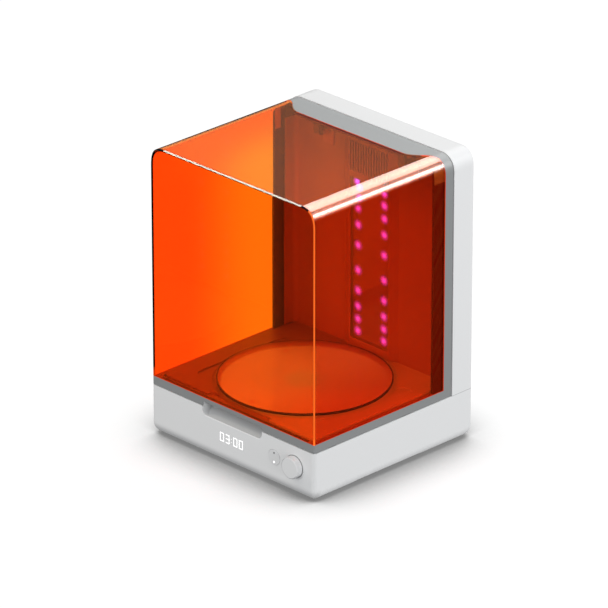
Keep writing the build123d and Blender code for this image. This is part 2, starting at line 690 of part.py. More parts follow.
def fan_rotor():
    """Hub and pitched blades of the exhaust fan."""
    front = FAN_FRONT_Y + 1.0
    back = FAN_BACK_Y - FAN_STRUT_DEPTH - 0.5
    rotor = rod_y(0, VENT_Z, FAN_HUB_R, front, back)
    rotor -= rod_y(0, VENT_Z, FAN_SHAFT_R + SHAFT_CLEAR, back - 6.5, back + 1)
    tip = FAN_BORE_R - FAN_TIP_GAP
    middle = (front + back) / 2
    swept = rod_y(0, VENT_Z, tip, front, back)
    for index in range(FAN_BLADES):
        blade = Box(tip, FAN_BLADE_DEPTH, FAN_BLADE_THICK)
        blade = Rot(FAN_BLADE_PITCH, 0, 0) * (Pos(tip / 2 + FAN_HUB_R * 0.6, 0, 0) * blade)
        blade = Pos(0, middle, VENT_Z) * (Rot(0, index * 360 / FAN_BLADES, 0) * blade)
        rotor += blade & swept
    return rotor


# ---------------------------------------------------------------- lid hinge
def hinge_brackets():
    """Two fixed brackets: a foot on the rear panel, an arm under the canopy's sweep, and an eye."""
    half = HINGE_EYE_WIDTH / 2
    arm_top = PIVOT_Z - HINGE_ARM_DROP
    arm_bottom = arm_top - HINGE_ARM_THICK
    neck_back = PIVOT_Y + HINGE_EYE_R - 0.5
    arm = outline(
        (PIVOT_Y - HINGE_EYE_R, PIVOT_Z), (neck_back, PIVOT_Z), (neck_back, arm_top),
        (PANEL_Y, arm_top), (PANEL_Y, arm_bottom), (PIVOT_Y - HINGE_EYE_R, arm_bottom)
    )
    corner = arm.vertices().sort_by(Axis.X)[:3].sort_by(Axis.Y)[0]
    arm = fillet(corner, HINGE_ARM_THICK)
    arm += Pos(PIVOT_Y, PIVOT_Z) * Circle(HINGE_EYE_R)
    arm -= Pos(PIVOT_Y, PIVOT_Z) * Circle(HINGE_PIN_R)
    bracket = side_view(arm, HINGE_X - half, HINGE_X + half)
    foot_half = HINGE_FOOT_WIDTH / 2
    bracket += block(
        HINGE_X - foot_half, HINGE_X + foot_half, PANEL_Y - HINGE_FOOT_THICK, PANEL_Y,
        arm_top - HINGE_FOOT_HEIGHT, arm_top
    )
    return both_sides(bracket)


def hinge_reach():
    """Half width of a hinge over its two ears."""
    return HINGE_EYE_WIDTH / 2 + HINGE_SIDE_GAP + HINGE_EAR_WIDTH


def hinge_pins():
    """Two pins held in the brackets' eyes."""
    reach = hinge_reach()
    pin = side_view(Pos(PIVOT_Y, PIVOT_Z) * Circle(HINGE_PIN_R), HINGE_X - reach, HINGE_X + reach)
    return both_sides(pin)


def hinge_leaves():
    """Two lid leaves: a plate under the canopy with an ear on each side of the fixed eye."""
    top = LID_TOP - CANOPY_THICK
    reach = hinge_reach()
    plate_front = CANOPY_FRONT_Y + LAP_BACK
    plate_back = PIVOT_Y - HINGE_EYE_R - 2.5
    plate_low = top - 1.6
    leaf = block(HINGE_X - reach, HINGE_X + reach, plate_front, plate_back, plate_low, top)
    ear = outline((plate_front + 4, top), (plate_front + 4, plate_low), (PIVOT_Y - 2, PIVOT_Z - 2.6),
                  (PIVOT_Y, PIVOT_Z), (PIVOT_Y + 2, top))
    ear += Pos(PIVOT_Y, PIVOT_Z) * Circle(HINGE_EAR_R)
    ear -= Pos(PIVOT_Y, PIVOT_Z) * Circle(HINGE_PIN_R + HINGE_BORE_GAP)
    inner = HINGE_EYE_WIDTH / 2 + HINGE_SIDE_GAP
    leaf += side_view(ear, HINGE_X - reach, HINGE_X - inner)
    leaf += side_view(ear, HINGE_X + inner, HINGE_X + reach)
    return both_sides(leaf)


# ---------------------------------------------------------------- lid
def behind_canopy_edge(gap):
    """Plan region behind the hood's rear edge: full canopy depth, curving back to the posts."""
    front = CANOPY_FRONT_Y + gap
    side = POST_FRONT_Y + gap
    end_x = CANOPY_HALF + CANOPY_SWEEP
    wide = HALF + 5
    back = LID_REAR_Y + 5
    edges = []
    for sign in (1, -1):
        along = (sign, 0)
        edges.append(Spline((sign * CANOPY_HALF, front), (sign * end_x, side), tangents=(along, along)))
        edges.append(Line((sign * end_x, side), (sign * wide, side)))
        edges.append(Line((sign * wide, side), (sign * wide, back)))
    edges.append(Line((-CANOPY_HALF, front), (CANOPY_HALF, front)))
    edges.append(Line((-wide, back), (wide, back)))
    return make_face(edges)


def lid_arch(inset_side, inset_top, low):
    """Front outline of the lid's skin, or of a surface inside it."""
    radius = LID_BEND_R - max(inset_side, inset_top)
    return arch_profile(LID_HALF - inset_side, low, LID_TOP - inset_top, max(radius, 1.0))


def hood_wrap():
    """Amber sheet bent over the top and both sides, with the curved cut-out at its rear edge."""
    start = LID_FRONT_Y + HOOD_FRONT_WALL
    outer = front_view(lid_arch(0, 0, BAND_TOP), start, POST_FRONT_Y)
    inner = front_view(lid_arch(HOOD_WALL, HOOD_WALL, BAND_TOP - 1), start - 1, POST_FRONT_Y + 1)
    region = plan(behind_canopy_edge(0), BAND_TOP - 1, HEIGHT + 1)
    return outer - inner - region


def hood_front():
    """Flat amber front plate, bonded to the wrap."""
    return front_view(lid_arch(0, 0, BAND_TOP), LID_FRONT_Y, LID_FRONT_Y + HOOD_FRONT_WALL)


def band_plan(inset, rear):
    """Plan outline of the lid's lower band, inset all round except at the rear."""
    depth = rear - LID_FRONT_Y - inset
    face = Pos(0, LID_FRONT_Y + inset + depth / 2) * Rectangle(2 * (LID_HALF - inset), depth)
    return fillet(face.vertices().sort_by(Axis.Y)[:2], BAND_CORNER_R)


def lid_frame():
    """Grey lid frame: lower band with the grip lip, rear posts, cheeks behind the hood, and canopy."""
    frame = plan(band_plan(0, LID_REAR_Y), LID_BOTTOM, BAND_TOP)
    frame -= plan(band_plan(HOOD_WALL, LID_REAR_Y + 5), LID_BOTTOM - 1, BAND_TOP - BAND_FLANGE)
    frame -= plan(band_plan(BAND_WIDTH, LID_REAR_Y + 5), LID_BOTTOM - 1, BAND_TOP + 1)
    lip_low = BAND_TOP - LIP_THICK
    lip = Pos(0, LID_FRONT_Y + LIP_REACH / 2) * Rectangle(2 * SCOOP_HALF, LIP_REACH)
    lip = fillet(lip.vertices().sort_by(Axis.Y)[-2:], 4)
    frame += plan(lip, lip_low, BAND_TOP)
    frame -= block(-SCOOP_HALF, SCOOP_HALF, LID_FRONT_Y - 1, behind(SCOOP_DEPTH + 5), LID_BOTTOM - 1, lip_low)
    for side in (-1, 1):
        x = side * (SCOOP_HALF + HOOD_WALL / 2)
        back = LID_FRONT_Y + BAND_WIDTH
        frame += block(
            x - HOOD_WALL / 2, x + HOOD_WALL / 2, LID_FRONT_Y + 0.5, back, LID_BOTTOM, BAND_TOP - 1
        )
    rear_ring = front_view(lid_arch(0, 0, LID_BOTTOM), CANOPY_FRONT_Y - 1, LID_REAR_Y)
    rear_hollow = fillet(
        lid_arch(POST_WIDTH, CANOPY_THICK, LID_BOTTOM - 5).vertices().sort_by(Axis.Y)[:2], 1
    )
    rear_ring -= front_view(rear_hollow, CANOPY_FRONT_Y - 2, LID_REAR_Y + 1)
    frame += rear_ring & plan(behind_canopy_edge(0), LID_BOTTOM, HEIGHT)
    cheek_outer = LID_HALF - HOOD_WALL
    cheek_front = POST_FRONT_Y - CHEEK_DEPTH
    cheek = block(
        cheek_outer - CHEEK_THICK, cheek_outer, cheek_front, POST_FRONT_Y + 2, BAND_TOP - 1, LID_TOP
    )
    cheek &= front_view(lid_arch(HOOD_WALL, HOOD_WALL, BAND_TOP - 5), FRONT_Y, BACK_Y)
    lap_top = LID_TOP - HOOD_WALL
    lap_low = lap_top - LAP_THICK
    lap_back = CANOPY_FRONT_Y + LAP_BACK
    lap = block(-CANOPY_HALF, CANOPY_HALF, CANOPY_FRONT_Y - LAP_REACH, lap_back, lap_low, lap_top)
    lap += block(-CANOPY_HALF, CANOPY_HALF, CANOPY_FRONT_Y, lap_back, lap_low, LID_TOP - 1)
    frame += cheek
    frame += mirror(cheek, Plane.YZ)
    frame += lap
    return frame


def hood_clamp_plates():
    """Two plates that hold the hood's rear corners to the frame's cheeks."""
    face = LID_HALF - HOOD_WALL - CHEEK_THICK
    front = POST_FRONT_Y - CHEEK_DEPTH + 0.5
    plate = block(face - CLAMP_THICK, face, front, front + CLAMP_WIDTH, CLAMP_TOP - CLAMP_LENGTH, CLAMP_TOP)
    return both_sides(plate)


def lid_bumpers():
    """Four soft pads on the base's rim that the lid closes on."""
    x = HALF - WALL / 2 - LID_INSET
    pads = []
    top = LID_BOTTOM - BUMPER_SLACK
    for side in (-1, 1):
        for row in BUMPER_ROWS:
            y = behind(row)
            pad = block(
                side * x - BUMPER_WIDTH / 2, side * x + BUMPER_WIDTH / 2,
                y - BUMPER_LENGTH / 2, y + BUMPER_LENGTH / 2, BASE_TOP, top
            )
            pads.append(pad.solid())
    return Compound(pads)


# ---------------------------------------------------------------- turntable
def turntable_disc():
    """Clear round glass plate."""
    disc = rod_z(0, TABLE_Y, DISC_R, DISC_TOP - DISC_THICK, DISC_TOP)
    return chamfer(disc.edges(), 0.4)


def turntable_hub():
    """Drive hub under the disc with its spindle."""
    under = DISC_TOP - DISC_THICK
    hub = rod_z(0, TABLE_Y, HUB_R, under - HUB_THICK, under)
    spindle = rod_z(0, TABLE_Y, SPINDLE_R, under - SPINDLE_LENGTH, under)
    return hub + spindle


def turntable_motor():
    """Flat gear motor under the floor, with two fixing ears and the spindle's bore."""
    top = RECESS_Z - FLOOR_THICK
    motor = rod_z(0, TABLE_Y, MOTOR_R, top - MOTOR_HEIGHT, top)
    ears = SlotCenterToCenter(2 * MOTOR_EAR_OFFSET, 2 * MOTOR_EAR_R)
    motor += plan(Pos(0, TABLE_Y) * ears, top - 2, top)
    bore_low = DISC_TOP - DISC_THICK - SPINDLE_LENGTH - 0.5
    motor -= rod_z(0, TABLE_Y, SPINDLE_R + SHAFT_CLEAR, bore_low, top + 1)
    return motor


# ---------------------------------------------------------------- front controls
def front_board():
    """Upright circuit board behind the front wall, with a slot edge resting on the cover."""
    y = behind(FRONT_BOARD_BACK)
    top = SCOOP_BOTTOM - SCOOP_LINER - FRONT_BOARD_GAP
    return block(FRONT_BOARD_FROM, FRONT_BOARD_TO, y, y + BOARD_THICK, COVER_Z, top)


def display_module():
    """Four-digit light module between the board and the thinned wall."""
    face = Pos(DISPLAY_X, DISPLAY_Z) * Rectangle(DISPLAY_WIDTH - 0.6, DISPLAY_HEIGHT - 0.6)
    return front_view(face, behind(DISPLAY_WINDOW_WALL), behind(FRONT_BOARD_BACK))


def knob():
    """Round control knob with a blind bore for the shaft."""
    front = FRONT_Y - KNOB_STANDOFF
    back = FRONT_Y - KNOB_GAP
    body = rod_y(KNOB_X, CONTROL_Z, KNOB_R, front, back)
    body = fillet(body.edges().group_by(Axis.Y)[0], KNOB_EDGE_R)
    return body - rod_y(KNOB_X, CONTROL_Z, SHAFT_R, front + KNOB_CAP, back + 1)


def encoder_shaft():
    """Shaft that the knob is pressed on."""
    front = FRONT_Y - KNOB_STANDOFF + KNOB_CAP
    end = behind(FRONT_BOARD_BACK - ENCODER_DEPTH + 4)
    return rod_y(KNOB_X, CONTROL_Z, SHAFT_R, front, end)


def encoder_body():
    """Rotary encoder with its round bush through the front wall."""
    half = ENCODER_SIZE / 2
    front = behind(FRONT_BOARD_BACK - ENCODER_DEPTH)
    body = block(
        KNOB_X - half, KNOB_X + half, front, behind(FRONT_BOARD_BACK), CONTROL_Z - half, CONTROL_Z + half
    )
    body += rod_y(KNOB_X, CONTROL_Z, BUSH_R, behind(0.4), front)
    return body - rod_y(KNOB_X, CONTROL_Z, SHAFT_R + SHAFT_CLEAR, FRONT_Y - 1, front + 4.5)


def start_button():
    """Round start button with a retaining flange, a stem and a bore for its light guide."""
    stem_end = behind(FRONT_BOARD_BACK - SWITCH_DEPTH - SWITCH_SLACK - BUTTON_TRAVEL)
    flange_front = behind(WALL + BUTTON_FLANGE_GAP)
    face = FRONT_Y - BUTTON_PROUD
    button = rod_y(BUTTON_X, CONTROL_Z, BUTTON_R, face, flange_front + BUTTON_FLANGE)
    button = fillet(button.edges().group_by(Axis.Y)[0], 0.3)
    flange_r = BUTTON_R + BUTTON_FLANGE_REACH
    button += rod_y(BUTTON_X, CONTROL_Z, flange_r, flange_front, flange_front + BUTTON_FLANGE)
    button += rod_y(BUTTON_X, CONTROL_Z, BUTTON_STEM_R, flange_front, stem_end)
    light_z = CONTROL_Z - BUTTON_LIGHT_DROP
    button -= rod_y(BUTTON_X, light_z, BUTTON_LIGHT_R, face - 1, flange_front + BUTTON_FLANGE + 1)
    return button - rod_y(BUTTON_X, CONTROL_Z + BUTTON_DOT_RISE, BUTTON_DOT_R, face - 1, face + 1)


def button_light_guide():
    """Small round light guide in the start button."""
    light_z = CONTROL_Z - BUTTON_LIGHT_DROP
    back = behind(WALL + BUTTON_FLANGE_GAP + BUTTON_FLANGE)
    return rod_y(BUTTON_X, light_z, BUTTON_LIGHT_R, FRONT_Y - BUTTON_PROUD, back)


def button_switch():
    """Small push switch behind the start button."""
    half = SWITCH_SIZE / 2
    front = behind(FRONT_BOARD_BACK - SWITCH_DEPTH)
    return block(
        BUTTON_X - half, BUTTON_X + half, front, behind(FRONT_BOARD_BACK), CONTROL_Z - half, CONTROL_Z + half
    )


# ---------------------------------------------------------------- rear connections
def power_inlet():
    """Three-pin appliance inlet set into the base's rear wall."""
    body = Pos(INLET_X, INLET_Z) * Rectangle(INLET_WIDTH - 2 * SEAM, INLET_HEIGHT - 2 * SEAM)
    socket = Pos(INLET_X, INLET_Z) * Rectangle(INLET_WIDTH - 3, INLET_HEIGHT - 4)
    socket = chamfer(socket.vertices().sort_by(Axis.Y)[-2:], 4)
    inlet = front_view(inlet_flange(0), BACK_Y - FLANGE_THICK, BACK_Y)
    inlet += front_view(body, BACK_Y - INLET_DEPTH, BACK_Y - FLANGE_THICK)
    inlet -= front_view(socket, BACK_Y - INLET_DEPTH + 3, BACK_Y + 3)
    for x, z in ((-PIN_SPACING / 2, -2), (PIN_SPACING / 2, -2), (0, 3)):
        pin = block(
            INLET_X + x - 1, INLET_X + x + 1, BACK_Y - INLET_DEPTH + 2, BACK_Y - 5,
            INLET_Z + z - 2, INLET_Z + z + 2
        )
        inlet += pin
    return inlet


def rocker_axis():
    """Depth of the mains switch's pivot."""
    return BACK_Y - ROCKER_PIVOT_DEPTH


def switch_housing():
    """Housing of the mains switch, snapped into the base's rear wall."""
    body = Pos(ROCKER_X, INLET_Z) * Rectangle(ROCKER_WIDTH + 2 - 2 * SEAM, ROCKER_HEIGHT + 2 - 2 * SEAM)
    mouth = Pos(ROCKER_X, INLET_Z) * Rectangle(ROCKER_WIDTH, ROCKER_HEIGHT - 0.6)
    housing = front_view(rocker_flange(0), BACK_Y - FLANGE_THICK, BACK_Y)
    housing += front_view(body, BACK_Y - ROCKER_BODY_DEPTH, BACK_Y - FLANGE_THICK)
    housing -= front_view(mouth, BACK_Y - ROCKER_BODY_DEPTH + 2, BACK_Y + 3)
    bore = Pos(rocker_axis(), INLET_Z) * Circle(ROCKER_PIN_R + SHAFT_CLEAR)
    return housing - side_view(bore, ROCKER_X - ROCKER_WIDTH, ROCKER_X + ROCKER_WIDTH)


def power_rocker():
    """Mains rocker, tilted to off."""
    pivot = rocker_axis()
    half = ROCKER_WIDTH / 2 - 0.3
    reach = ROCKER_HEIGHT / 2 - 2.4
    tip = pivot + ROCKER_REACH
    wedge = outline(
        (pivot + 2, INLET_Z), (tip, INLET_Z + reach), (tip - ROCKER_DIP, INLET_Z), (tip, INLET_Z - reach)
    )
    body = side_view(wedge, ROCKER_X - half, ROCKER_X + half)
    body += side_view(Pos(pivot, INLET_Z) * Circle(3), ROCKER_X - half, ROCKER_X + half)
    body += side_view(Pos(pivot + 3, INLET_Z) * Rectangle(6, 5), ROCKER_X - half, ROCKER_X + half)
    pin_reach = ROCKER_WIDTH / 2 + 0.6
    body += side_view(Pos(pivot, INLET_Z) * Circle(ROCKER_PIN_R), ROCKER_X - pin_reach, ROCKER_X + pin_reach)
    turn = Pos(0, pivot, INLET_Z) * Rot(ROCKER_TILT, 0, 0) * Pos(0, -pivot, -INLET_Z)
    return turn * body


# ---------------------------------------------------------------- inside the base
def board_standoffs():
    """Four posts that carry the main board."""
    x, y = MAIN_BOARD_PLACE[0], behind(MAIN_BOARD_PLACE[1])
    dx = MAIN_BOARD[0] / 2 - STANDOFF_INSET
    dy = MAIN_BOARD[1] / 2 - STANDOFF_INSET
    posts = []
    for px in (x - dx, x + dx):
        for py in (y - dy, y + dy):
            level = cover_level(py)
            top = COVER_Z + ARCH_RISE + STANDOFF_HEIGHT
            posts.append(rod_z(px, py, STANDOFF_R, level, top).solid())
    return Compound(posts)


def main_board():
    """Main circuit board with its transformer and connector blocks."""
    x, y = MAIN_BOARD_PLACE[0], behind(MAIN_BOARD_PLACE[1])
    low = COVER_Z + ARCH_RISE + STANDOFF_HEIGHT
    top = low + BOARD_THICK
    board = block(
        x - MAIN_BOARD[0] / 2, x + MAIN_BOARD[0] / 2, y - MAIN_BOARD[1] / 2, y + MAIN_BOARD[1] / 2, low, top
    )
    board += block(x - 40, x - 12, y - 30, y - 8, top, top + 16)
    board += block(x + 8, x + 44, y - 34, y - 26, top, top + 9)
    board += block(x + 10, x + 30, y + 6, y + 26, top, top + 3)
    return board


def power_supply():
    """Enclosed power supply on the bottom cover."""
    x, y = SUPPLY_PLACE[0], behind(SUPPLY_PLACE[1])
    low = COVER_Z + ARCH_RISE
    body = block(
        x - SUPPLY_SIZE[0] / 2, x + SUPPLY_SIZE[0] / 2, y - SUPPLY_SIZE[1] / 2, y + SUPPLY_SIZE[1] / 2,
        low, RECESS_Z - FLOOR_THICK - MOTOR_HEIGHT - SUPPLY_GAP
    )
    return chamfer(body.edges().filter_by(Axis.Z), 2)


def lid_sensor():
    """Magnetic sensor under the right-hand rim of the base."""
    x = HALF - WALL
    return block(x - 6, x, behind(60), behind(74), LEDGE_Z - 8, LEDGE_Z)


def lid_magnet():
    """Magnet in the lid's band above the sensor."""
    x = LID_HALF - HOOD_WALL
    return block(x - 5, x, behind(62), behind(72), BAND_TOP - BAND_FLANGE - 4, BAND_TOP - BAND_FLANGE)


PARTS = {
    "base_shell": base_shell,
    "bottom_cover": bottom_cover,
    "rubber_feet": rubber_feet,
    "case_screws": case_screws,
    "chamber_floor": chamber_floor,
    "glide_pads": glide_pads,
    "column_shell": column_shell,
    "rear_panel": rear_panel,
    "led_window": led_window,
    "led_board": led_board,
    "led_emitters": led_emitters,
    "led_heat_sink": led_heat_sink,
    "fan_duct": fan_duct,
    "fan_frame": fan_frame,
    "fan_rotor": fan_rotor,
    "hinge_brackets": hinge_brackets,
    "hinge_pins": hinge_pins,
    "hinge_leaves": hinge_leaves,
    "hood_wrap": hood_wrap,
    "hood_front": hood_front,
    "lid_frame": lid_frame,
    "hood_clamp_plates": hood_clamp_plates,
    "lid_bumpers": lid_bumpers,
    "lid_sensor": lid_sensor,
    "lid_magnet": lid_magnet,
    "turntable_disc": turntable_disc,
    "turntable_hub": turntable_hub,
    "turntable_motor": turntable_motor,
    "front_board": front_board,
    "display_module": display_module,
    "knob": knob,
    "encoder_shaft": encoder_shaft,
    "encoder_body": encoder_body,
    "start_button": start_button,
    "button_light_guide": button_light_guide,
    "button_switch": button_switch,
    "power_inlet": power_inlet,
    "switch_housing": switch_housing,
    "power_rocker": power_rocker,
    "board_standoffs": board_standoffs,
    "main_board": main_board,
    "power_supply": power_supply,
}

os.makedirs("parts", exist_ok=True)
for name, make in PARTS.items():
    export_step(make(), f"parts/{name}.step")
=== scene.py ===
"""Finishes, small fittings, light and camera for a bench-top dental curing unit."""
import logging
import math
from dataclasses import dataclass, fields
from enum import Enum
from functools import partial, reduce
from typing import ClassVar, Optional, Sequence

import bmesh
import bpy
from mathutils import Matrix, Vector


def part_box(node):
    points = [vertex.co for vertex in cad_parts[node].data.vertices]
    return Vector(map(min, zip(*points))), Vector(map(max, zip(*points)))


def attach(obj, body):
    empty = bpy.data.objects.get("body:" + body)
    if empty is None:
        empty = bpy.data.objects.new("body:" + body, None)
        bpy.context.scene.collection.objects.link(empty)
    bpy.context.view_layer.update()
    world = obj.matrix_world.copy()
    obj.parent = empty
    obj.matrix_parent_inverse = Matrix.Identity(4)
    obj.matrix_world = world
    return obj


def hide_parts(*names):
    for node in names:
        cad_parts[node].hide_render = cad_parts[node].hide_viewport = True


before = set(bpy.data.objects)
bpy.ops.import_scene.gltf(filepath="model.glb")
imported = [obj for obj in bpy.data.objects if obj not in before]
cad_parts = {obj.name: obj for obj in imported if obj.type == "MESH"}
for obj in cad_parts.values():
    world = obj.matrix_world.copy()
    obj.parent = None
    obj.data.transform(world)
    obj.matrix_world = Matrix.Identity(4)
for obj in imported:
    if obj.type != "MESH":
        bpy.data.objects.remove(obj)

LOG = logging.getLogger("curing_unit")
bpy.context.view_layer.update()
MM = 0.001
CRISP = 0.1 * MM  # how far a mask's sharp edge spreads

Colour = tuple[float, float, float]
Triple = tuple[float, float, float]
Pair = tuple[float, float]
Wire = bpy.types.NodeSocket
Node = bpy.types.Node
Form = bmesh.types.BMesh
Face = bmesh.types.BMFace
Inputs = dict[str, object]

WHITE: Colour = (1.0, 1.0, 1.0)
BLACK: Colour = (0.0, 0.0, 0.0)


class Body(Enum):
    """Rigid bodies of the unit."""

    HOUSING = "housing"
    LID = "lid"
    TURNTABLE = "turntable"
    KNOB = "knob"
    BUTTON = "button"
    ROCKER = "rocker"
    FAN = "fan"


# ---------------------------------------------------------------- node helpers
class Graph:
    """Adds nodes to one node tree and joins them."""

    def __init__(self, tree: bpy.types.NodeTree) -> None:
        """Keeps the tree that it fills."""
        self.tree = tree

    def node(self, kind: str, inputs: Optional[dict] = None, **settings: object) -> Node:
        """Adds one node.

        Args:
            kind: Blender's node type name.
            inputs: Values or sockets, by input name or index.
            settings: Node properties.

        Returns:
            The new node.
        """
        made = self.tree.nodes.new(kind)
        for name, value in settings.items():
            setattr(made, name, value)
        for key, value in (inputs or {}).items():
            self.feed(made.inputs[key], value)
        return made

    def feed(self, socket: Wire, value: object) -> None:
        """Links a socket to an input, or sets the input's value.

        Args:
            socket: The input.
            value: A socket, or the value itself, where a colour needs no alpha.
        """
        if isinstance(value, Wire):
            self.tree.links.new(value, socket)
        elif isinstance(value, (tuple, list)) and len(value) == 3 and len(socket.default_value) == 4:
            socket.default_value = (*value, 1.0)
        else:
            socket.default_value = value

    def open_input(self, name: str, kind: str, value: object = None) -> None:
        """Gives the graph's group an input.

        Args:
            name: Name of the input.
            kind: Last part of Blender's socket type name.
            value: What it holds where nothing is joined to it.
        """
        made = self.tree.interface.new_socket(name, in_out="INPUT", socket_type="NodeSocket" + kind)
        if value is not None:
            made.default_value = value

    def given(self) -> dict[str, Wire]:
        """What the group's inputs bring in, by name."""
        return {socket.name: socket for socket in self.node("NodeGroupInput").outputs}

    def close_group(self, kind: str, results: dict[str, Wire]) -> bpy.types.NodeTree:
        """Gives the group its outputs.

        Args:
            kind: Last part of Blender's socket type name.
            results: What each output gives.

        Returns:
            The finished tree.
        """
        for name in results:
            self.tree.interface.new_socket(name, in_out="OUTPUT", socket_type="NodeSocket" + kind)
        self.node("NodeGroupOutput", results)
        return self.tree

    def math(self, operation: str, *values: object) -> Wire:
        """Adds a Math node and gives its result."""
        return self.node("ShaderNodeMath", dict(enumerate(values)), operation=operation).outputs[0]

    def product(self, *factors: object) -> Wire:
        """Product of several masks or numbers."""
        return reduce(partial(self.math, "MULTIPLY"), factors)

    def ramp(self, value: Wire, low: float, high: float) -> Wire:
        """Smooth step of a value from 0 at low to 1 at high."""
        inputs = {"Value": value, "From Min": low, "From Max": high}
        return self.node("ShaderNodeMapRange", inputs, interpolation_type="SMOOTHSTEP").outputs["Result"]

    def band(self, value: Wire, low: float, high: float, soft: float) -> Wire:
        """Mask that is 1 between two values, with soft ends."""
        rising, falling = (low - soft, low + soft), (high + soft, high - soft)
        return self.product(self.ramp(value, *rising), self.ramp(value, *falling))

    def middle(self, value: Wire, half: float, soft: float) -> Wire:
        """Mask that is 1 up to a distance on both sides of the middle."""
        return self.band(value, -half, half, soft)

    def mix(self, factor: object, first: object, second: object) -> Wire:
        """Mix of two colours."""
        return self.node("ShaderNodeMix", {"Factor": factor, 6: first, 7: second}, data_type="RGBA").outputs[2]

    def blend(self, factor: Wire, first: object, second: object) -> Wire:
        """Mix of two numbers."""
        return self.node("ShaderNodeMix", {0: factor, 2: first, 3: second}, data_type="FLOAT").outputs[0]

    def offset(self, values: Sequence[Wire], centre: Pair) -> list[Wire]:
        """How far values are from a centre, each along its own axis."""
        return [self.math("SUBTRACT", value, middle) for value, middle in zip(values, centre)]

    def length(self, parts: Sequence[Wire]) -> Wire:
        """Length of a vector of two parts."""
        return self.math("SQRT", self.math("ADD", *(self.math("POWER", part, 2.0) for part in parts)))

    def place(self) -> Wire:
        """Object coordinates, which are the unit's own frame."""
        return self.node("ShaderNodeTexCoord").outputs["Object"]

    def axes(self) -> list[Wire]:
        """The place on the unit, as across, depth and height."""
        return list(self.node("ShaderNodeSeparateXYZ", {"Vector": self.place()}).outputs)

    def noise(self, vector: Wire, scale: object, detail: float) -> Wire:
        """Noise between 0 and 1, finer by its scale and richer by its detail."""
        inputs = {"Vector": vector, "Scale": scale, "Detail": detail}
        return self.node("ShaderNodeTexNoise", inputs).outputs["Fac"]

    def around_one(self, noise: Wire, share: object) -> Wire:
        """Factor that a noise moves up and down from 1."""
        return self.math("MULTIPLY_ADD", self.math("SUBTRACT", noise, 0.5), share, 1.0)

    def stretch(self, vector: Wire, scale: Triple) -> Wire:
        """Vector scaled along each axis."""
        return self.node("ShaderNodeMapping", {"Vector": vector, "Scale": scale}).outputs[0]

    def bump(self, height: Wire, depth: float, strength: float) -> Wire:
        """Normal of a bumpy surface."""
        inputs = {"Height": height, "Distance": depth, "Strength": strength}
        return self.node("ShaderNodeBump", inputs).outputs["Normal"]

    def scaled(self, vector: object, factor: Wire) -> Wire:
        """Vector or colour times a number."""
        return self.node("ShaderNodeVectorMath", {0: vector, "Scale": factor}, operation="SCALE").outputs[0]

    def vector(self, *parts: object) -> Wire:
        """Vector of three parts."""
        return self.node("ShaderNodeCombineXYZ", dict(enumerate(parts))).outputs[0]

    def raised(self, geometry: Wire, height: Wire, scale: Triple = (1.0, 1.0, 1.0)) -> Wire:
        """Geometry scaled about the origin, then moved up."""
        inputs = {"Geometry": geometry, "Translation": self.vector(0.0, 0.0, height), "Scale": scale}
        return self.node("GeometryNodeTransform", inputs).outputs[0]

    def joined(self, *parts: Wire) -> Wire:
        """Joins several geometries.

        Args:
            parts: The geometries.

        Returns:
            One geometry of them all.
        """
        made = self.node("GeometryNodeJoinGeometry")
        for part in parts:
            self.feed(made.inputs[0], part)
        return made.outputs[0]


def emptied(owner: bpy.types.ID) -> Graph:
    """Empties the node tree of a material or world.

    Args:
        owner: The material or world.

    Returns:
        The graph of its tree.
    """
    owner.use_nodes = True
    owner.node_tree.nodes.clear()
    return Graph(owner.node_tree)


class Effect(Enum):
    """Shared surface effects, each one node group."""

    GRAIN = "moulded_grain"
    BRUSH = "brushed_lines"
    SMEAR = "handling_smear"


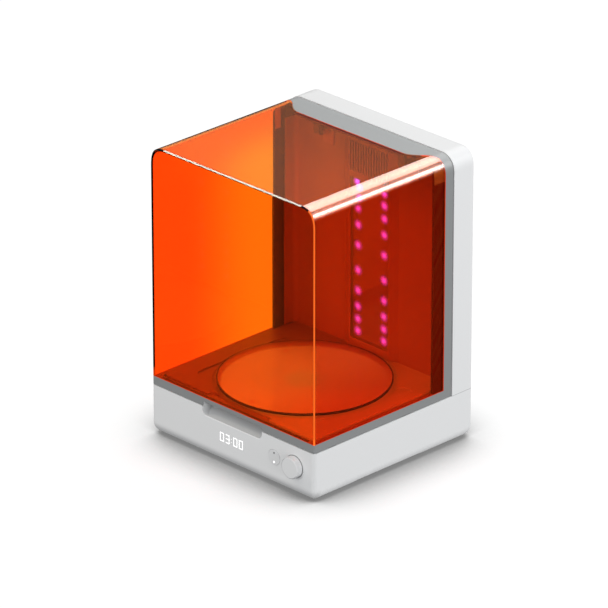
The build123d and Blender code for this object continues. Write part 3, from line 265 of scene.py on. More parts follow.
class EffectLibrary:
    """Builds each shared effect once and places it in materials."""

    NUMBERS: ClassVar[dict[Effect, dict[str, float]]] = {
        Effect.GRAIN: {"Grain Scale": 1500.0, "Tone": 0.03},
        Effect.BRUSH: {"Line Scale": 900.0},
        Effect.SMEAR: {"Amount": 0.02},
    }

    def __init__(self) -> None:
        """Starts with no groups built."""
        self._groups: dict[Effect, bpy.types.NodeTree] = {}

    def place(self, graph: Graph, effect: Effect, **values: object) -> bpy.types.bpy_prop_collection:
        """Places an effect in a material.

        Args:
            graph: The material's graph.
            effect: Which effect.
            values: Input values by name, with spaces written as underscores.

        Returns:
            The effect's outputs by name.
        """
        if effect not in self._groups:
            self._groups[effect] = self._group(effect)
        inputs = {"Vector": graph.place()}
        inputs.update({name.replace("_", " "): value for name, value in values.items()})
        return graph.node("ShaderNodeGroup", inputs, node_tree=self._groups[effect]).outputs

    def _group(self, effect: Effect) -> bpy.types.NodeTree:
        """Builds an effect's group.

        Args:
            effect: Which effect.

        Returns:
            A group that takes the place on the unit and the effect's numbers.
        """
        graph = Graph(bpy.data.node_groups.new(effect.value, "ShaderNodeTree"))
        graph.open_input("Vector", "Vector")
        for name, value in self.NUMBERS[effect].items():
            graph.open_input(name, "Float", value)
        return graph.close_group("Float", getattr(self, "_" + effect.value)(graph, graph.given()))

    @staticmethod
    def _moulded_grain(graph: Graph, given: dict[str, Wire]) -> dict[str, Wire]:
        """Fine pebble grain of moulded plastic, with a faint tone change.

        Args:
            graph: The group's graph.
            given: Its inputs by name.

        Returns:
            Its outputs by name.
        """
        cloud = graph.noise(given["Vector"], scale=9.0, detail=3.0)
        return {
            "Height": graph.noise(given["Vector"], given["Grain Scale"], detail=2.0),
            "Shade": graph.around_one(cloud, given["Tone"]),
            "Spread": graph.around_one(cloud, 0.18),
        }

    @staticmethod
    def _brushed_lines(graph: Graph, given: dict[str, Wire]) -> dict[str, Wire]:
        """Long fine lines of brushed or rolled metal."""
        lines = graph.noise(graph.stretch(given["Vector"], (1.0, 1.0, 0.02)), given["Line Scale"], detail=2.0)
        return {"Height": lines, "Spread": graph.around_one(lines, 0.5)}

    @staticmethod
    def _handling_smear(graph: Graph, given: dict[str, Wire]) -> dict[str, Wire]:
        """Faint wipe marks that roughen a clear or polished sheet here and there."""
        marks = graph.noise(graph.stretch(given["Vector"], (1.0, 1.0, 2.6)), scale=7.0, detail=4.0)
        return {"Roughness": graph.product(graph.ramp(marks, low=0.45, high=0.75), given["Amount"])}


EFFECTS = EffectLibrary()


# ---------------------------------------------------------------- finishes
@dataclass(frozen=True)
class Finish:
    """What every finish has in common."""

    name: str
    colour: Colour
    roughness: float = 0.5

    def material(self) -> bpy.types.Material:
        """Gives the finish's material, made on first use."""
        return bpy.data.materials.get(self.name) or self._make()

    def _make(self) -> bpy.types.Material:
        """Makes the material.

        Returns:
            The material, with its shader and surface.
        """
        made = bpy.data.materials.new(self.name)
        graph = emptied(made)
        shader = graph.node("ShaderNodeBsdfPrincipled", self.inputs(graph)).outputs[0]
        graph.node("ShaderNodeOutputMaterial", {"Surface": self.surface(graph, shader)})
        return made

    def inputs(self, graph: Graph) -> Inputs:
        """Inputs of the Principled shader, by name."""
        return {"Base Color": self.colour, "Roughness": self.roughness}

    def surface(self, graph: Graph, shader: Wire) -> Wire:
        """What light meets, which is the shader alone where nothing is mixed with it."""
        return shader


@dataclass(frozen=True)
class Moulded(Finish):
    """Moulded plastic or rubber with a fine grain."""

    grain: float = 1500.0
    depth: float = 0.02 * MM
    tone: float = 0.03
    coat: float = 0.0
    shine: float = 0.5

    def inputs(self, graph: Graph) -> Inputs:
        """Grain, a faint tone change and an optional clear coat."""
        grain = EFFECTS.place(graph, Effect.GRAIN, Grain_Scale=self.grain, Tone=self.tone)
        return {
            "Base Color": graph.scaled(self.tinted(graph), grain["Shade"]),
            "Roughness": graph.product(grain["Spread"], self.roughness),
            "Normal": graph.bump(grain["Height"], self.depth, 1.0),
            "Coat Weight": self.coat,
            "Specular IOR Level": self.shine,
        }

    def tinted(self, graph: Graph) -> object:
        """Colour before the tone change."""
        return self.colour


@dataclass(frozen=True)
class CaseWhite(Moulded):
    """White casing with painted shade in the scoop under the grip lip, at its lower front and round the knob, a
    painted highlight on the scoop's rim, and a dark seam under the column.
    """

    # Colours of the painted highlight and of the painted shade; gap is the seam's dark joint.
    bright: Colour = (0.98, 0.98, 0.98)
    shade: Colour = (0.1, 0.1, 0.1)
    gap: Colour = (0.05, 0.05, 0.05)
    scoop_half: float = 50.5 * MM
    scoop_soft: float = 0.5 * MM
    scoop_depth: Pair = (-119.5 * MM, -107.0 * MM)
    scoop_end: Pair = (-101.0 * MM, -102.0 * MM)
    scoop_share: float = 0.5
    rim_half: float = 44.5 * MM
    rim_soft: Pair = (2.0 * MM, 0.2 * MM)
    rim_height: Pair = (51.2 * MM, 52.3 * MM)
    rim_depth: Pair = (-119.5 * MM, -122.5 * MM)
    foot_height: Pair = (17.0 * MM, 8.0 * MM)
    foot_depth: Pair = (-111.0 * MM, -119.0 * MM)
    foot_share: float = 0.27
    seam_height: Pair = (61.95 * MM, 62.45 * MM)
    seam_depth: Pair = (98.0 * MM, 98.5 * MM)
    seam_share: float = 0.55
    knob_centre: Pair = (102.1 * MM, 37.4 * MM)
    ring_reach: Pair = (14.2 * MM, 13.5 * MM)
    ring_depth: Pair = (-119.0 * MM, -120.0 * MM)
    ring_share: float = 0.75

    def tinted(self, graph: Graph) -> object:
        """White, with its painted shade and painted highlight laid one over another.

        Args:
            graph: The material's graph.

        Returns:
            The colour.
        """
        across, depth, height = graph.axes()
        # Painted shade deep in the scoop, under the grip lip.
        scoop = graph.product(
            graph.middle(across, self.scoop_half, self.scoop_soft),
            graph.ramp(depth, *self.scoop_depth),
            graph.ramp(depth, *self.scoop_end),
        )
        # Painted highlight along the scoop's lower rim.
        rim = graph.product(
            graph.middle(across, self.rim_half, self.rim_soft[0]),
            graph.band(height, *self.rim_height, self.rim_soft[1]),
            graph.ramp(depth, *self.rim_depth),
        )
        # Painted shade on the lower front, towards the foot.
        foot = graph.product(graph.ramp(height, *self.foot_height), graph.ramp(depth, *self.foot_depth))
        seam = graph.product(graph.band(height, *self.seam_height, CRISP), graph.ramp(depth, *self.seam_depth))
        # Painted shade in a ring on the front round the knob.
        far = graph.length(graph.offset((across, height), self.knob_centre))
        ring = graph.product(graph.ramp(far, *self.ring_reach), graph.ramp(depth, *self.ring_depth))
        made = self.colour
        for mask, share, tone in (
            (scoop, self.scoop_share, self.shade),
            (rim, 1.0, self.bright),
            (foot, self.foot_share, self.shade),
            (seam, self.seam_share, self.gap),
            (ring, self.ring_share, self.shade),
        ):
            made = graph.mix(graph.product(mask, share), made, tone)
        return made


@dataclass(frozen=True)
class FrameGrey(Moulded):
    """Grey lid frame, with painted shade on the faces that look into the hood and on its front ledge, and a
    painted lighter top.
    """

    bend_centre: Pair = (114.6 * MM, 343.2 * MM)
    bend_reach: Pair = (15.45 * MM, 15.42 * MM)
    inside_height: Pair = (73.4 * MM, 73.5 * MM)
    inside_depth: Pair = (39.0 * MM, 40.0 * MM)
    ledge_depth: Pair = (-120.35 * MM, -116.0 * MM)
    ledge_half: float = 120.5 * MM
    lining: Colour = (0.045, 0.043, 0.044)
    top: Colour = (0.385, 0.4, 0.405)
    top_rise: Pair = (4.0 * MM, 15.0 * MM)

    def tinted(self, graph: Graph) -> object:
        """Grey outside with a painted lighter top, painted shade inside.

        Args:
            graph: The material's graph.

        Returns:
            The colour.
        """
        across, depth, height = graph.axes()
        beyond = graph.offset((graph.math("ABSOLUTE", across), height), self.bend_centre)
        aside, above = (graph.math("MAXIMUM", part, 0.0) for part in beyond)
        # Painted shade on the faces that look into the hood and on the front ledge.
        inside = graph.product(
            graph.ramp(graph.length((aside, above)), *self.bend_reach),
            graph.ramp(height, *self.inside_height),
            graph.ramp(depth, *self.inside_depth),
        )
        ledge = graph.product(
            graph.band(depth, *self.ledge_depth, CRISP), graph.middle(across, self.ledge_half, CRISP)
        )
        # Painted light: a lighter grey on the top, where light falls from above.
        outside = graph.mix(graph.ramp(above, *self.top_rise), self.colour, self.top)
        return graph.mix(graph.math("MAXIMUM", inside, ledge), outside, self.lining)


@dataclass(frozen=True)
class TwoTone(Moulded):
    """Moulding that goes from one tone to another along an axis, which on the clamp plates and the rear panel
    is painted light and shade.
    """

    axis: int = 1
    span: Pair = (0.0, 1.0)
    second: Colour = (0.4, 0.4, 0.4)

    def tinted(self, graph: Graph) -> object:
        """First tone, then the second."""
        return graph.mix(graph.ramp(graph.axes()[self.axis], *self.span), self.colour, self.second)


@dataclass(frozen=True)
class KnobWhite(Moulded):
    """White knob, with painted shade on the lower left of its rounded rim."""

    centre: Pair = (102.1 * MM, 37.4 * MM)
    rim: Pair = (11.6 * MM, 12.3 * MM)
    slant: Pair = (9.0 * MM, -6.0 * MM)
    # Colour of the painted shade.
    shade: Colour = (0.36, 0.37, 0.38)

    def tinted(self, graph: Graph) -> object:
        """White, with painted shade at the rim.

        Args:
            graph: The material's graph.

        Returns:
            The colour.
        """
        across, _, height = graph.axes()
        parts = graph.offset((across, height), self.centre)
        rim = graph.ramp(graph.length(parts), *self.rim)
        lower_left = graph.ramp(graph.math("ADD", *parts), *self.slant)
        return graph.mix(graph.product(rim, lower_left), self.colour, self.shade)


@dataclass(frozen=True)
class TrayGrey(Moulded):
    """Chamber floor with painted light: a painted glow under the glass disc and faintly round it, weaker to the
    right, and a paler tone to the right.
    """

    centre: Pair = (0.0, -7.4 * MM)
    reach: Pair = (97.0 * MM, 96.0 * MM)
    pale: Colour = (0.26, 0.26, 0.26)
    right: Colour = (0.42, 0.42, 0.42)
    right_span: Pair = (-50.0 * MM, 90.0 * MM)
    glow: Colour = (0.46, 0.62, 0.6)
    right_glow: Colour = (0.22, 0.22, 0.2)
    floor_glow: Colour = (0.16, 0.17, 0.14)
    glow_span: Pair = (-20.0 * MM, 90.0 * MM)

    def inputs(self, graph: Graph) -> Inputs:
        """Adds the painted glow under the disc and round it, weaker to the right.

        Args:
            graph: The material's graph.

        Returns:
            Inputs of the Principled shader.
        """
        # Painted glow: emission stands in for light under the disc.
        rightwards = graph.ramp(graph.axes()[0], *self.glow_span)
        pool = graph.mix(rightwards, self.glow, self.right_glow)
        around = graph.mix(rightwards, BLACK, self.floor_glow)
        light = graph.mix(self._under(graph), around, pool)
        return {**super().inputs(graph), "Emission Color": light, "Emission Strength": 1.0}

    def _under(self, graph: Graph) -> Wire:
        """Mask of the round place under the disc."""
        return graph.ramp(graph.length(graph.offset(graph.axes()[:2], self.centre)), *self.reach)

    def tinted(self, graph: Graph) -> object:
        """Grey tray, painted paler to the right, with one grey in the round place under the disc."""
        # Painted light: the tray lightens towards the right.
        tray = graph.mix(graph.ramp(graph.axes()[0], *self.right_span), self.colour, self.right)
        return graph.mix(self._under(graph), tray, self.pale)


@dataclass(frozen=True)
class PinnedBlack(Moulded):
    """Black inlet with plated pins."""

    pins: tuple[Pair, ...] = ((-85.0 * MM, 32.0 * MM), (-71.0 * MM, 32.0 * MM), (-78.0 * MM, 37.0 * MM))
    pin_half: Pair = (1.03 * MM, 2.03 * MM)
    pin_soft: float = 0.02 * MM
    pin_depth: Pair = (114.2 * MM, 128.5 * MM)
    plating: Colour = (0.75, 0.73, 0.68)

    def inputs(self, graph: Graph) -> Inputs:
        """Adds the plated look of the pins."""
        return {**super().inputs(graph), "Metallic": self._on_pins(graph)}

    def _on_pins(self, graph: Graph) -> Wire:
        """Marks the pins.

        Args:
            graph: The material's graph.

        Returns:
            Mask of the pins.
        """
        across, depth, height = graph.axes()
        half_x, half_z = self.pin_half
        masks = []
        for centre in self.pins:
            aside, above = graph.offset((across, height), centre)
            wide, tall = graph.middle(aside, half_x, self.pin_soft), graph.middle(above, half_z, self.pin_soft)
            masks.append(graph.product(wide, tall))
        any_pin = reduce(partial(graph.math, "MAXIMUM"), masks)
        return graph.product(graph.band(depth, *self.pin_depth, CRISP), any_pin)

    def tinted(self, graph: Graph) -> object:
        """Black body, pale pins."""
        return graph.mix(self._on_pins(graph), self.colour, self.plating)


@dataclass(frozen=True)
class Metal(Finish):
    """Plated, rolled or brushed metal."""

    lines: float = 900.0
    depth: float = 0.01 * MM
    relief: float = 0.6

    def inputs(self, graph: Graph) -> Inputs:
        """Metallic shine with fine lines."""
        brush = EFFECTS.place(graph, Effect.BRUSH, Line_Scale=self.lines)
        return {
            "Base Color": self.colour,
            "Metallic": 1.0,
            "Roughness": graph.product(brush["Spread"], self.roughness),
            "Normal": graph.bump(brush["Height"], self.depth, self.relief),
        }


@dataclass(frozen=True)
class ClearSheet(Finish):
    """Clear or tinted sheet that lets lamps through."""

    refraction: float = 1.49
    lamp_tint: Colour = (0.98, 0.98, 0.98)
    smear: float = 0.02

    def inputs(self, graph: Graph) -> Inputs:
        """Clear body with faint wipe marks."""
        smear = EFFECTS.place(graph, Effect.SMEAR, Amount=self.smear)
        return {
            "Base Color": self.body_tint(graph),
            "Transmission Weight": 1.0,
            "IOR": self.refraction,
            "Roughness": graph.math("ADD", smear["Roughness"], self.roughness),
        }

    def surface(self, graph: Graph, shader: Wire) -> Wire:
        """Lets the light of lamps straight through.

        Args:
            graph: The material's graph.
            shader: The Principled shader's result.

        Returns:
            The shader for sight, mixed with an open way for lamps.
        """
        open_way = graph.node("ShaderNodeBsdfTransparent", {"Color": self.lamp_tint}).outputs[0]
        to_lamp = graph.node("ShaderNodeLightPath").outputs["Is Shadow Ray"]
        return graph.node("ShaderNodeMixShader", {0: to_lamp, 1: shader, 2: open_way}).outputs[0]

    def body_tint(self, graph: Graph) -> object:
        """Tint of the sheet."""
        return self.colour


@dataclass(frozen=True)
class AmberSheet(ClearSheet):
    """Amber sheet with painted light and shade: its tint is lighter or darker from wall to wall."""

    behind_front: Pair = (-120.6 * MM, -120.0 * MM)
    top_tint: Colour = (1.0, 0.275, 0.042)
    top_height: Pair = (345.0 * MM, 356.0 * MM)
    right_tint: Colour = (0.82, 0.09, 0.011)
    left_tint: Colour = (1.0, 0.32, 0.03)
    left_span: Pair = (-118.0 * MM, -127.0 * MM)
    left_rear_tint: Colour = (1.0, 0.9, 0.07)
    left_rear_depth: Pair = (-75.0 * MM, 50.0 * MM)
    high_tint: Colour = (1.0, 0.42, 0.045)
    high_rise: Pair = (285.0 * MM, 345.0 * MM)
    high_depth: Pair = (-110.0 * MM, -50.0 * MM)
    corner_tint: Colour = (0.64, 0.078, 0.006)
    corner_span: Pair = (60.0 * MM, 86.0 * MM)
    corner_height: Pair = (150.0 * MM, 220.0 * MM)

    def body_tint(self, graph: Graph) -> object:
        """Tint of each wall with its painted light and shade, in the unit's frame.

        Args:
            graph: The material's graph.

        Returns:
            The tint.
        """
        across, depth, height = graph.axes()
        # Painted light and shade: the top and the left wall lighter, the left wall more so towards the rear and
        # in its own tone near the top, the right wall and the upper right of the front plate darker.
        left = graph.mix(graph.ramp(depth, *self.left_rear_depth), self.left_tint, self.left_rear_tint)
        high = graph.product(graph.ramp(height, *self.high_rise), graph.ramp(depth, *self.high_depth))
        left = graph.mix(high, left, self.high_tint)
        walls = graph.mix(graph.ramp(across, *self.left_span), self.right_tint, left)
        corner = graph.product(graph.ramp(across, *self.corner_span), graph.ramp(height, *self.corner_height))
        front = graph.mix(corner, self.colour, self.corner_tint)
        behind = graph.ramp(depth, *self.behind_front)
        on_top = graph.product(graph.ramp(height, *self.top_height), behind)
        return graph.mix(on_top, graph.mix(behind, front, walls), self.top_tint)


@dataclass(frozen=True)
class CutEdge(ClearSheet):
    """Polished cut edge of the amber sheet, with a painted glow that stands in for the light carried inside the
    sheet.
    """

    glow: float = 0.6
    glow_tint: Colour = (1.0, 0.16, 0.02)

    def inputs(self, graph: Graph) -> Inputs:
        """Adds the painted edge glow to the clear body."""
        return {**super().inputs(graph), "Emission Color": self.glow_tint, "Emission Strength": self.glow}


@dataclass(frozen=True)
class Glow(Finish):
    """Surface that gives its own light, weaker in mirror images where it says so."""

    strength: float = 1.0
    light: Optional[Colour] = None
    mirrored: float = 1.0

    def inputs(self, graph: Graph) -> Inputs:
        """Adds the light."""
        light = {"Emission Color": self.shown(graph), "Emission Strength": self.strength}
        return {**super().inputs(graph), **self.skin(graph), **light}

    def skin(self, graph: Graph) -> Inputs:
        """Faint unevenness of the surface."""
        grain = EFFECTS.place(graph, Effect.GRAIN, Grain_Scale=2400.0, Tone=0.02)
        return {"Roughness": graph.product(grain["Spread"], self.roughness)}

    def shown(self, graph: Graph) -> object:
        """Colour of the light, for what sees it.

        Args:
            graph: The material's graph.

        Returns:
            The colour.
        """
        light = self.light or self.colour
        if self.mirrored == 1.0:
            return light
        bounces = graph.node("ShaderNodeLightPath").outputs["Glossy Depth"]
        return graph.mix(graph.ramp(bounces, 0.0, 1.0), light, tuple(self.mirrored * value for value in light))


@dataclass(frozen=True)
class Halo(Glow):
    """Painted pool of light round a small lamp, fading out to its rim."""

    fade_end: float = 0.9
    fade_curve: float = 1.5

    def skin(self, graph: Graph) -> Inputs:
        """Fades the surface by the piece's own glow attribute."""
        fade = graph.node("ShaderNodeAttribute", attribute_name="glow").outputs["Fac"]
        return {"Alpha": graph.math("POWER", graph.ramp(fade, 0.0, self.fade_end), self.fade_curve)}


WHITE_CASE = CaseWhite("white_case", (0.82, 0.83, 0.84), 0.46, 1800.0, 0.012 * MM, 0.02, shine=0.25)
WHITE_BUTTON = Moulded("white_button", (0.78, 0.79, 0.8), 0.45, 2200.0, 0.01 * MM, 0.01, shine=0.2)
WHITE_CONTROL = KnobWhite("white_control", (0.8, 0.81, 0.82), 0.45, 2200.0, 0.01 * MM, 0.01, shine=0.2)
GREY_FRAME = FrameGrey("grey_frame", (0.29, 0.3, 0.305), 0.4, 1600.0)
# Clamp plates: painted light on the left plate, painted shade on the right one.
CLAMP_LIT_AND_SHADED = TwoTone(
    "clamp_coat", (0.5, 0.5, 0.5), 0.45, 1600.0, axis=0, span=(-50.0 * MM, 50.0 * MM), second=(0.05, 0.05, 0.05)
)
COVER_GREY = Moulded("cover_grey", (0.45, 0.46, 0.47), 0.55, 900.0, 0.04 * MM)
CHAMBER_FLOOR = TrayGrey("chamber_floor_grey", (0.27, 0.27, 0.275), 0.3, 1500.0, 0.01 * MM)
# The hub has the same painted glow under the disc.
HUB_GREY = TrayGrey("hub_grey", (0.26, 0.26, 0.26), 0.4, 1100.0, glow=(0.38, 0.5, 0.48))
PAD_CLEAR = Moulded("pad_white", (0.8, 0.8, 0.8), 0.3, 1500.0, 0.01 * MM)
RUBBER = Moulded("foot_rubber", (0.03, 0.03, 0.032), 0.8, 700.0, 0.05 * MM)
BLACK_PLASTIC = Moulded("black_plastic", (0.02, 0.02, 0.022), 0.45, 1100.0, 0.03 * MM)
ROCKER_BLACK = Moulded("rocker_black", (0.012, 0.012, 0.013), 0.2, 1500.0, 0.01 * MM, coat=0.4)
# Rear panel: painted shade, darker towards the top under the canopy.
PANEL = TwoTone(
    "panel_reflector", (0.42, 0.42, 0.42), 0.34, 2500.0, 0.006 * MM, 0.04,
    axis=2, span=(240.0 * MM, 350.0 * MM), second=(0.27, 0.27, 0.27),
)
BOARD_GREEN = Moulded("board_green", (0.02, 0.16, 0.06), 0.35, 600.0, 0.03 * MM)
BOARD_WHITE = Moulded("board_white", (0.36, 0.34, 0.35), 0.45, 900.0)
BRACKET = TwoTone("bracket_dark", (0.12, 0.12, 0.12), 0.45, 900.0, 0.03 * MM, span=(84.6 * MM, 84.8 * MM))
INLET_BLACK = PinnedBlack("inlet_black", (0.02, 0.02, 0.022), 0.4, 1100.0, 0.03 * MM)
DISPLAY_BLOCK = Moulded("display_block", (0.05, 0.05, 0.05), 0.3)
# Painted shade for the glass disc's edge.
DISC_RIM_SHADE = Moulded("disc_rim_dark", (0.012, 0.014, 0.013), 0.25, 2200.0, 0.005 * MM, 0.01)
PRINT_DARK = Moulded("dark_print", (0.05, 0.05, 0.055), 0.5, 2600.0, 0.004 * MM)
STEEL = Metal("zinc_steel", (0.62, 0.62, 0.64), 0.3)
ALUMINIUM = Metal("plain_aluminium", (0.72, 0.73, 0.75), 0.35)
BRASS = Metal("turned_brass", (0.66, 0.48, 0.2), 0.25)
NICKEL = Metal("nickel", (0.7, 0.69, 0.66), 0.18)
AMBER_TINT = (1.0, 0.165, 0.015)
AMBER_LAMP_TINT = (0.98, 0.42, 0.15)
AMBER = AmberSheet("amber_sheet", AMBER_TINT, 0.0, lamp_tint=AMBER_LAMP_TINT, smear=0.01)
# Painted glow on the hood's cut edges.
AMBER_EDGE = CutEdge("amber_cut_edge", AMBER_TINT, 0.05, lamp_tint=AMBER_LAMP_TINT, glow=0.5)
# Painted highlight: a stronger glow on the chamfer down the right front edge.
AMBER_CORNER_HIGHLIGHT = CutEdge("amber_corner", (1.0, 0.35, 0.05), 0.05, lamp_tint=AMBER_LAMP_TINT, glow=0.95)
DISC_GLASS = ClearSheet("disc_glass", (0.97, 0.99, 0.98), 0.0, 1.52, (0.97, 0.98, 0.975), 0.015)
WINDOW_CLEAR = ClearSheet("window_clear", (0.95, 0.93, 0.96), 0.02, lamp_tint=(0.98, 0.97, 0.98))
DIGIT_LIGHT = Glow("digit_light", WHITE, 0.4, strength=0.6)
BUTTON_LIGHT = Glow("button_light", WHITE, 0.4, strength=1.1)
VIOLET = (0.028, 0.012, 1.0)
EMITTER_LIGHT = Glow("emitter_light", (0.8, 0.75, 0.85), 0.3, strength=46.0, light=VIOLET, mirrored=0.1)
# Painted pools of light round the emitters.
EMITTER_HALO = Halo("emitter_halo", (0.8, 0.75, 0.85), 0.5, strength=30.0, light=VIOLET, mirrored=0.1)


# ---------------------------------------------------------------- mesh helpers
def linked(name: str, data: bpy.types.ID) -> bpy.types.Object:
    """Makes an object of some data in the scene.

    Args:
        name: Name of the object.
        data: Its mesh, lamp or camera.

    Returns:
        The new object.
    """
    made = bpy.data.objects.new(name, data)
    bpy.context.scene.collection.objects.link(made)
    return made


def piece(name: str, mesh: bpy.types.Mesh, body: Body) -> bpy.types.Object:
    """Makes an object of a mesh and lets it ride on a body.

    Args:
        name: Name of the piece.
        mesh: Its mesh, in the unit's frame.
        body: The body that carries it.

    Returns:
        The new object.
    """
    made = linked(name, mesh)
    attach(made, body.value)
    LOG.info("piece %s on %s", name, body.value)
    return made


def loft(form: Form, rows: Sequence[Sequence], closed: bool = True) -> list[list[Face]]:
    """Joins rows of vertices by four-sided faces.

    Args:
        form: Mesh to add to.
        rows: Rows of as many vertices each.
        closed: Whether the last vertex of a row is joined to its first.

    Returns:
        The faces between each two rows.
    """
    made = []
    for first, second in zip(rows, rows[1:]):
        steps = [(k, (k + 1) % len(first)) for k in range(len(first) if closed else len(first) - 1)]
        made.append([form.faces.new((first[k], first[j], second[j], second[k])) for k, j in steps])
    return made


def solid(form: Form, rings: Sequence[Sequence[Triple]], ends: int = 0, sides: int = 0) -> None:
    """Adds a closed solid through rings of places.

    Args:
        form: Mesh to add to.
        rings: Places on each ring.
        ends: Which of the mesh's materials the two end faces have.
        sides: Which of the mesh's materials the other faces have.
    """
    rows = [[form.verts.new(place) for place in ring] for ring in rings]
    for row in (rows[0], rows[-1]):
        form.faces.new(row).material_index = ends
    for face in sum(loft(form, rows), []):
        face.material_index = sides


def circle(centre: Pair, radius: float, steps: int) -> list[Pair]:
    """Places on a circle."""
    turns = [math.tau * step / steps for step in range(steps)]
    return [(centre[0] + radius * math.cos(turn), centre[1] + radius * math.sin(turn)) for turn in turns]


def finished(form: Form, name: str, looks: Sequence[Finish], crease: Optional[float] = None) -> bpy.types.Mesh:
    """Turns a form into a mesh whose faces look outwards.

    Args:
        form: The form, which is used up.
        name: Name of the mesh.
        looks: Finishes, in the order that the faces number them.
        crease: Angle in degrees above which a smooth mesh keeps its edges, or nothing for a flat one.

    Returns:
        The mesh.
    """
    bmesh.ops.recalc_face_normals(form, faces=form.faces)
    for face in form.faces:
        face.smooth = crease is not None
    mesh = bpy.data.meshes.new(name)
    form.to_mesh(mesh)
    form.free()
    if crease is not None:
        mesh.set_sharp_from_angle(angle=math.radians(crease))
    for finish in looks:
        mesh.materials.append(finish.material())
    return mesh


def islands(name: str) -> list[tuple[Vector, Vector]]:
    """Boxes of a CAD node's separate solids.

    Args:
        name: The CAD node.

    Returns:
        Lowest and highest corner of each solid.
    """
    form = bmesh.new()
    form.from_mesh(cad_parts[name].data)
    bmesh.ops.remove_doubles(form, verts=form.verts, dist=1e-6)
    left = set(form.verts)
    boxes = []
    while left:
        group, edge = [], [left.pop()]
        while edge:
            vertex = edge.pop()
            group.append(vertex.co)
            near = {link.other_vert(vertex) for link in vertex.link_edges} & left
            left -= near
            edge.extend(near)
        boxes.append(tuple(Vector([pick(co[i] for co in group) for i in range(3)]) for pick in (min, max)))
    form.free()
    return sorted(boxes, key=lambda box: tuple(round(v, 4) for v in box[0]))


# ---------------------------------------------------------------- repeated pieces
@dataclass
class Scatter:
    """One small form set at many places by Geometry Nodes, as one plain mesh."""

    name: str
    places: Sequence[Vector]
    turn: Triple
    finish: Finish

    def sizes(self) -> dict[str, float]:
        """Named sizes of the form, in metres: the fields that its own class adds."""
        added = fields(self)[len(fields(Scatter)):]
        return {item.name.replace("_", " ").title(): getattr(self, item.name) for item in added}

    def form(self, graph: Graph, given: dict[str, Wire]) -> Wire:
        """Builds the form, standing on the origin along +Z.

        Args:
            graph: The geometry graph.
            given: Its inputs by name.

        Returns:
            The form's geometry.
        """
        raise NotImplementedError

    def _tree(self) -> bpy.types.NodeTree:
        """Makes the Geometry Nodes tree.

        Returns:
            The tree, with the form's sizes, its turn and its finish as inputs.
        """
        graph = Graph(bpy.data.node_groups.new(self.name + "_maker", "GeometryNodeTree"))
        graph.open_input("Geometry", "Geometry")
        for label, value in self.sizes().items():
            graph.open_input(label, "Float", value)
        graph.open_input("Turn", "Vector")
        graph.open_input("Finish", "Material")
        given = graph.given()
        turn = graph.node("FunctionNodeEulerToRotation", {"Euler": given["Turn"]}).outputs[0]
        copies = graph.node(
            "GeometryNodeInstanceOnPoints",
            {"Points": given["Geometry"], "Instance": self.form(graph, given), "Rotation": turn},
        )
        real = graph.node("GeometryNodeRealizeInstances", {"Geometry": copies.outputs[0]})
        done = graph.node("GeometryNodeSetMaterial", {"Geometry": real.outputs[0], "Material": given["Finish"]})
        return graph.close_group("Geometry", {"Geometry": done.outputs[0]})

    def build(self, body: Body, slot: str) -> bpy.types.Object:
        """Makes the piece.

        Args:
            body: The body that carries it.
            slot: The record's material slot, which is not used.

        Returns:
            The new object.
        """
        points = bpy.data.meshes.new(self.name + "_points")
        points.from_pydata([tuple(place) for place in self.places], [], [])
        holder = linked(self.name + "_holder", points)
        nodes = holder.modifiers.new("maker", "NODES")
        nodes.node_group = self._tree()
        values = dict(self.sizes(), Turn=self.turn, Finish=self.finish.material())
        for item in nodes.node_group.interface.items_tree:
            if item.in_out == "INPUT" and item.name in values:
                nodes[item.identifier] = values[item.name]
        mesh = bpy.data.meshes.new_from_object(holder.evaluated_get(bpy.context.evaluated_depsgraph_get()))
        mesh.name = self.name
        bpy.data.objects.remove(holder)
        return piece(self.name, mesh, body)


@dataclass
class Screws(Scatter):
    """Screws with a crowned head and a cross recess."""

    crown: ClassVar[float] = 0.72
    arm: ClassVar[float] = 1.15
    slit: ClassVar[float] = 0.22
    recess: ClassVar[float] = 0.9
    head_radius: float = 2.5 * MM
    head_height: float = 1.6 * MM
    shank_radius: float = 1.2 * MM
    shank_length: float = 0.0

    def form(self, graph: Graph, given: dict[str, Wire]) -> Wire:
        """One screw: crowned head, cross recess and shank.

        Args:
            graph: The geometry graph.
            given: Its inputs by name.

        Returns:
            The screw.
        """
        radius, height, length = given["Head Radius"], given["Head Height"], given["Shank Length"]
        top = graph.product(radius, self.crown)
        cone = {"Vertices": 28, "Radius Top": top, "Radius Bottom": radius, "Depth": height}
        head = graph.node("GeometryNodeMeshCone", cone).outputs[0]
        cut = graph.node("GeometryNodeMeshBoolean", {"Mesh 1": head}, operation="DIFFERENCE", solver="EXACT")
        arm, slit = graph.product(radius, self.arm), graph.product(radius, self.slit)
        deep = graph.product(height, self.recess)
        for size in ((arm, slit, deep), (slit, arm, deep)):
            bar = graph.node("GeometryNodeMeshCube", {"Size": graph.vector(*size)}).outputs[0]
            graph.feed(cut.inputs["Mesh 2"], graph.raised(bar, height))
        rod = {"Vertices": 16, "Radius": given["Shank Radius"], "Depth": length}
        shank = graph.node("GeometryNodeMeshCylinder", rod).outputs[0]
        return graph.joined(cut.outputs[0], graph.raised(shank, graph.product(length, -0.5)))


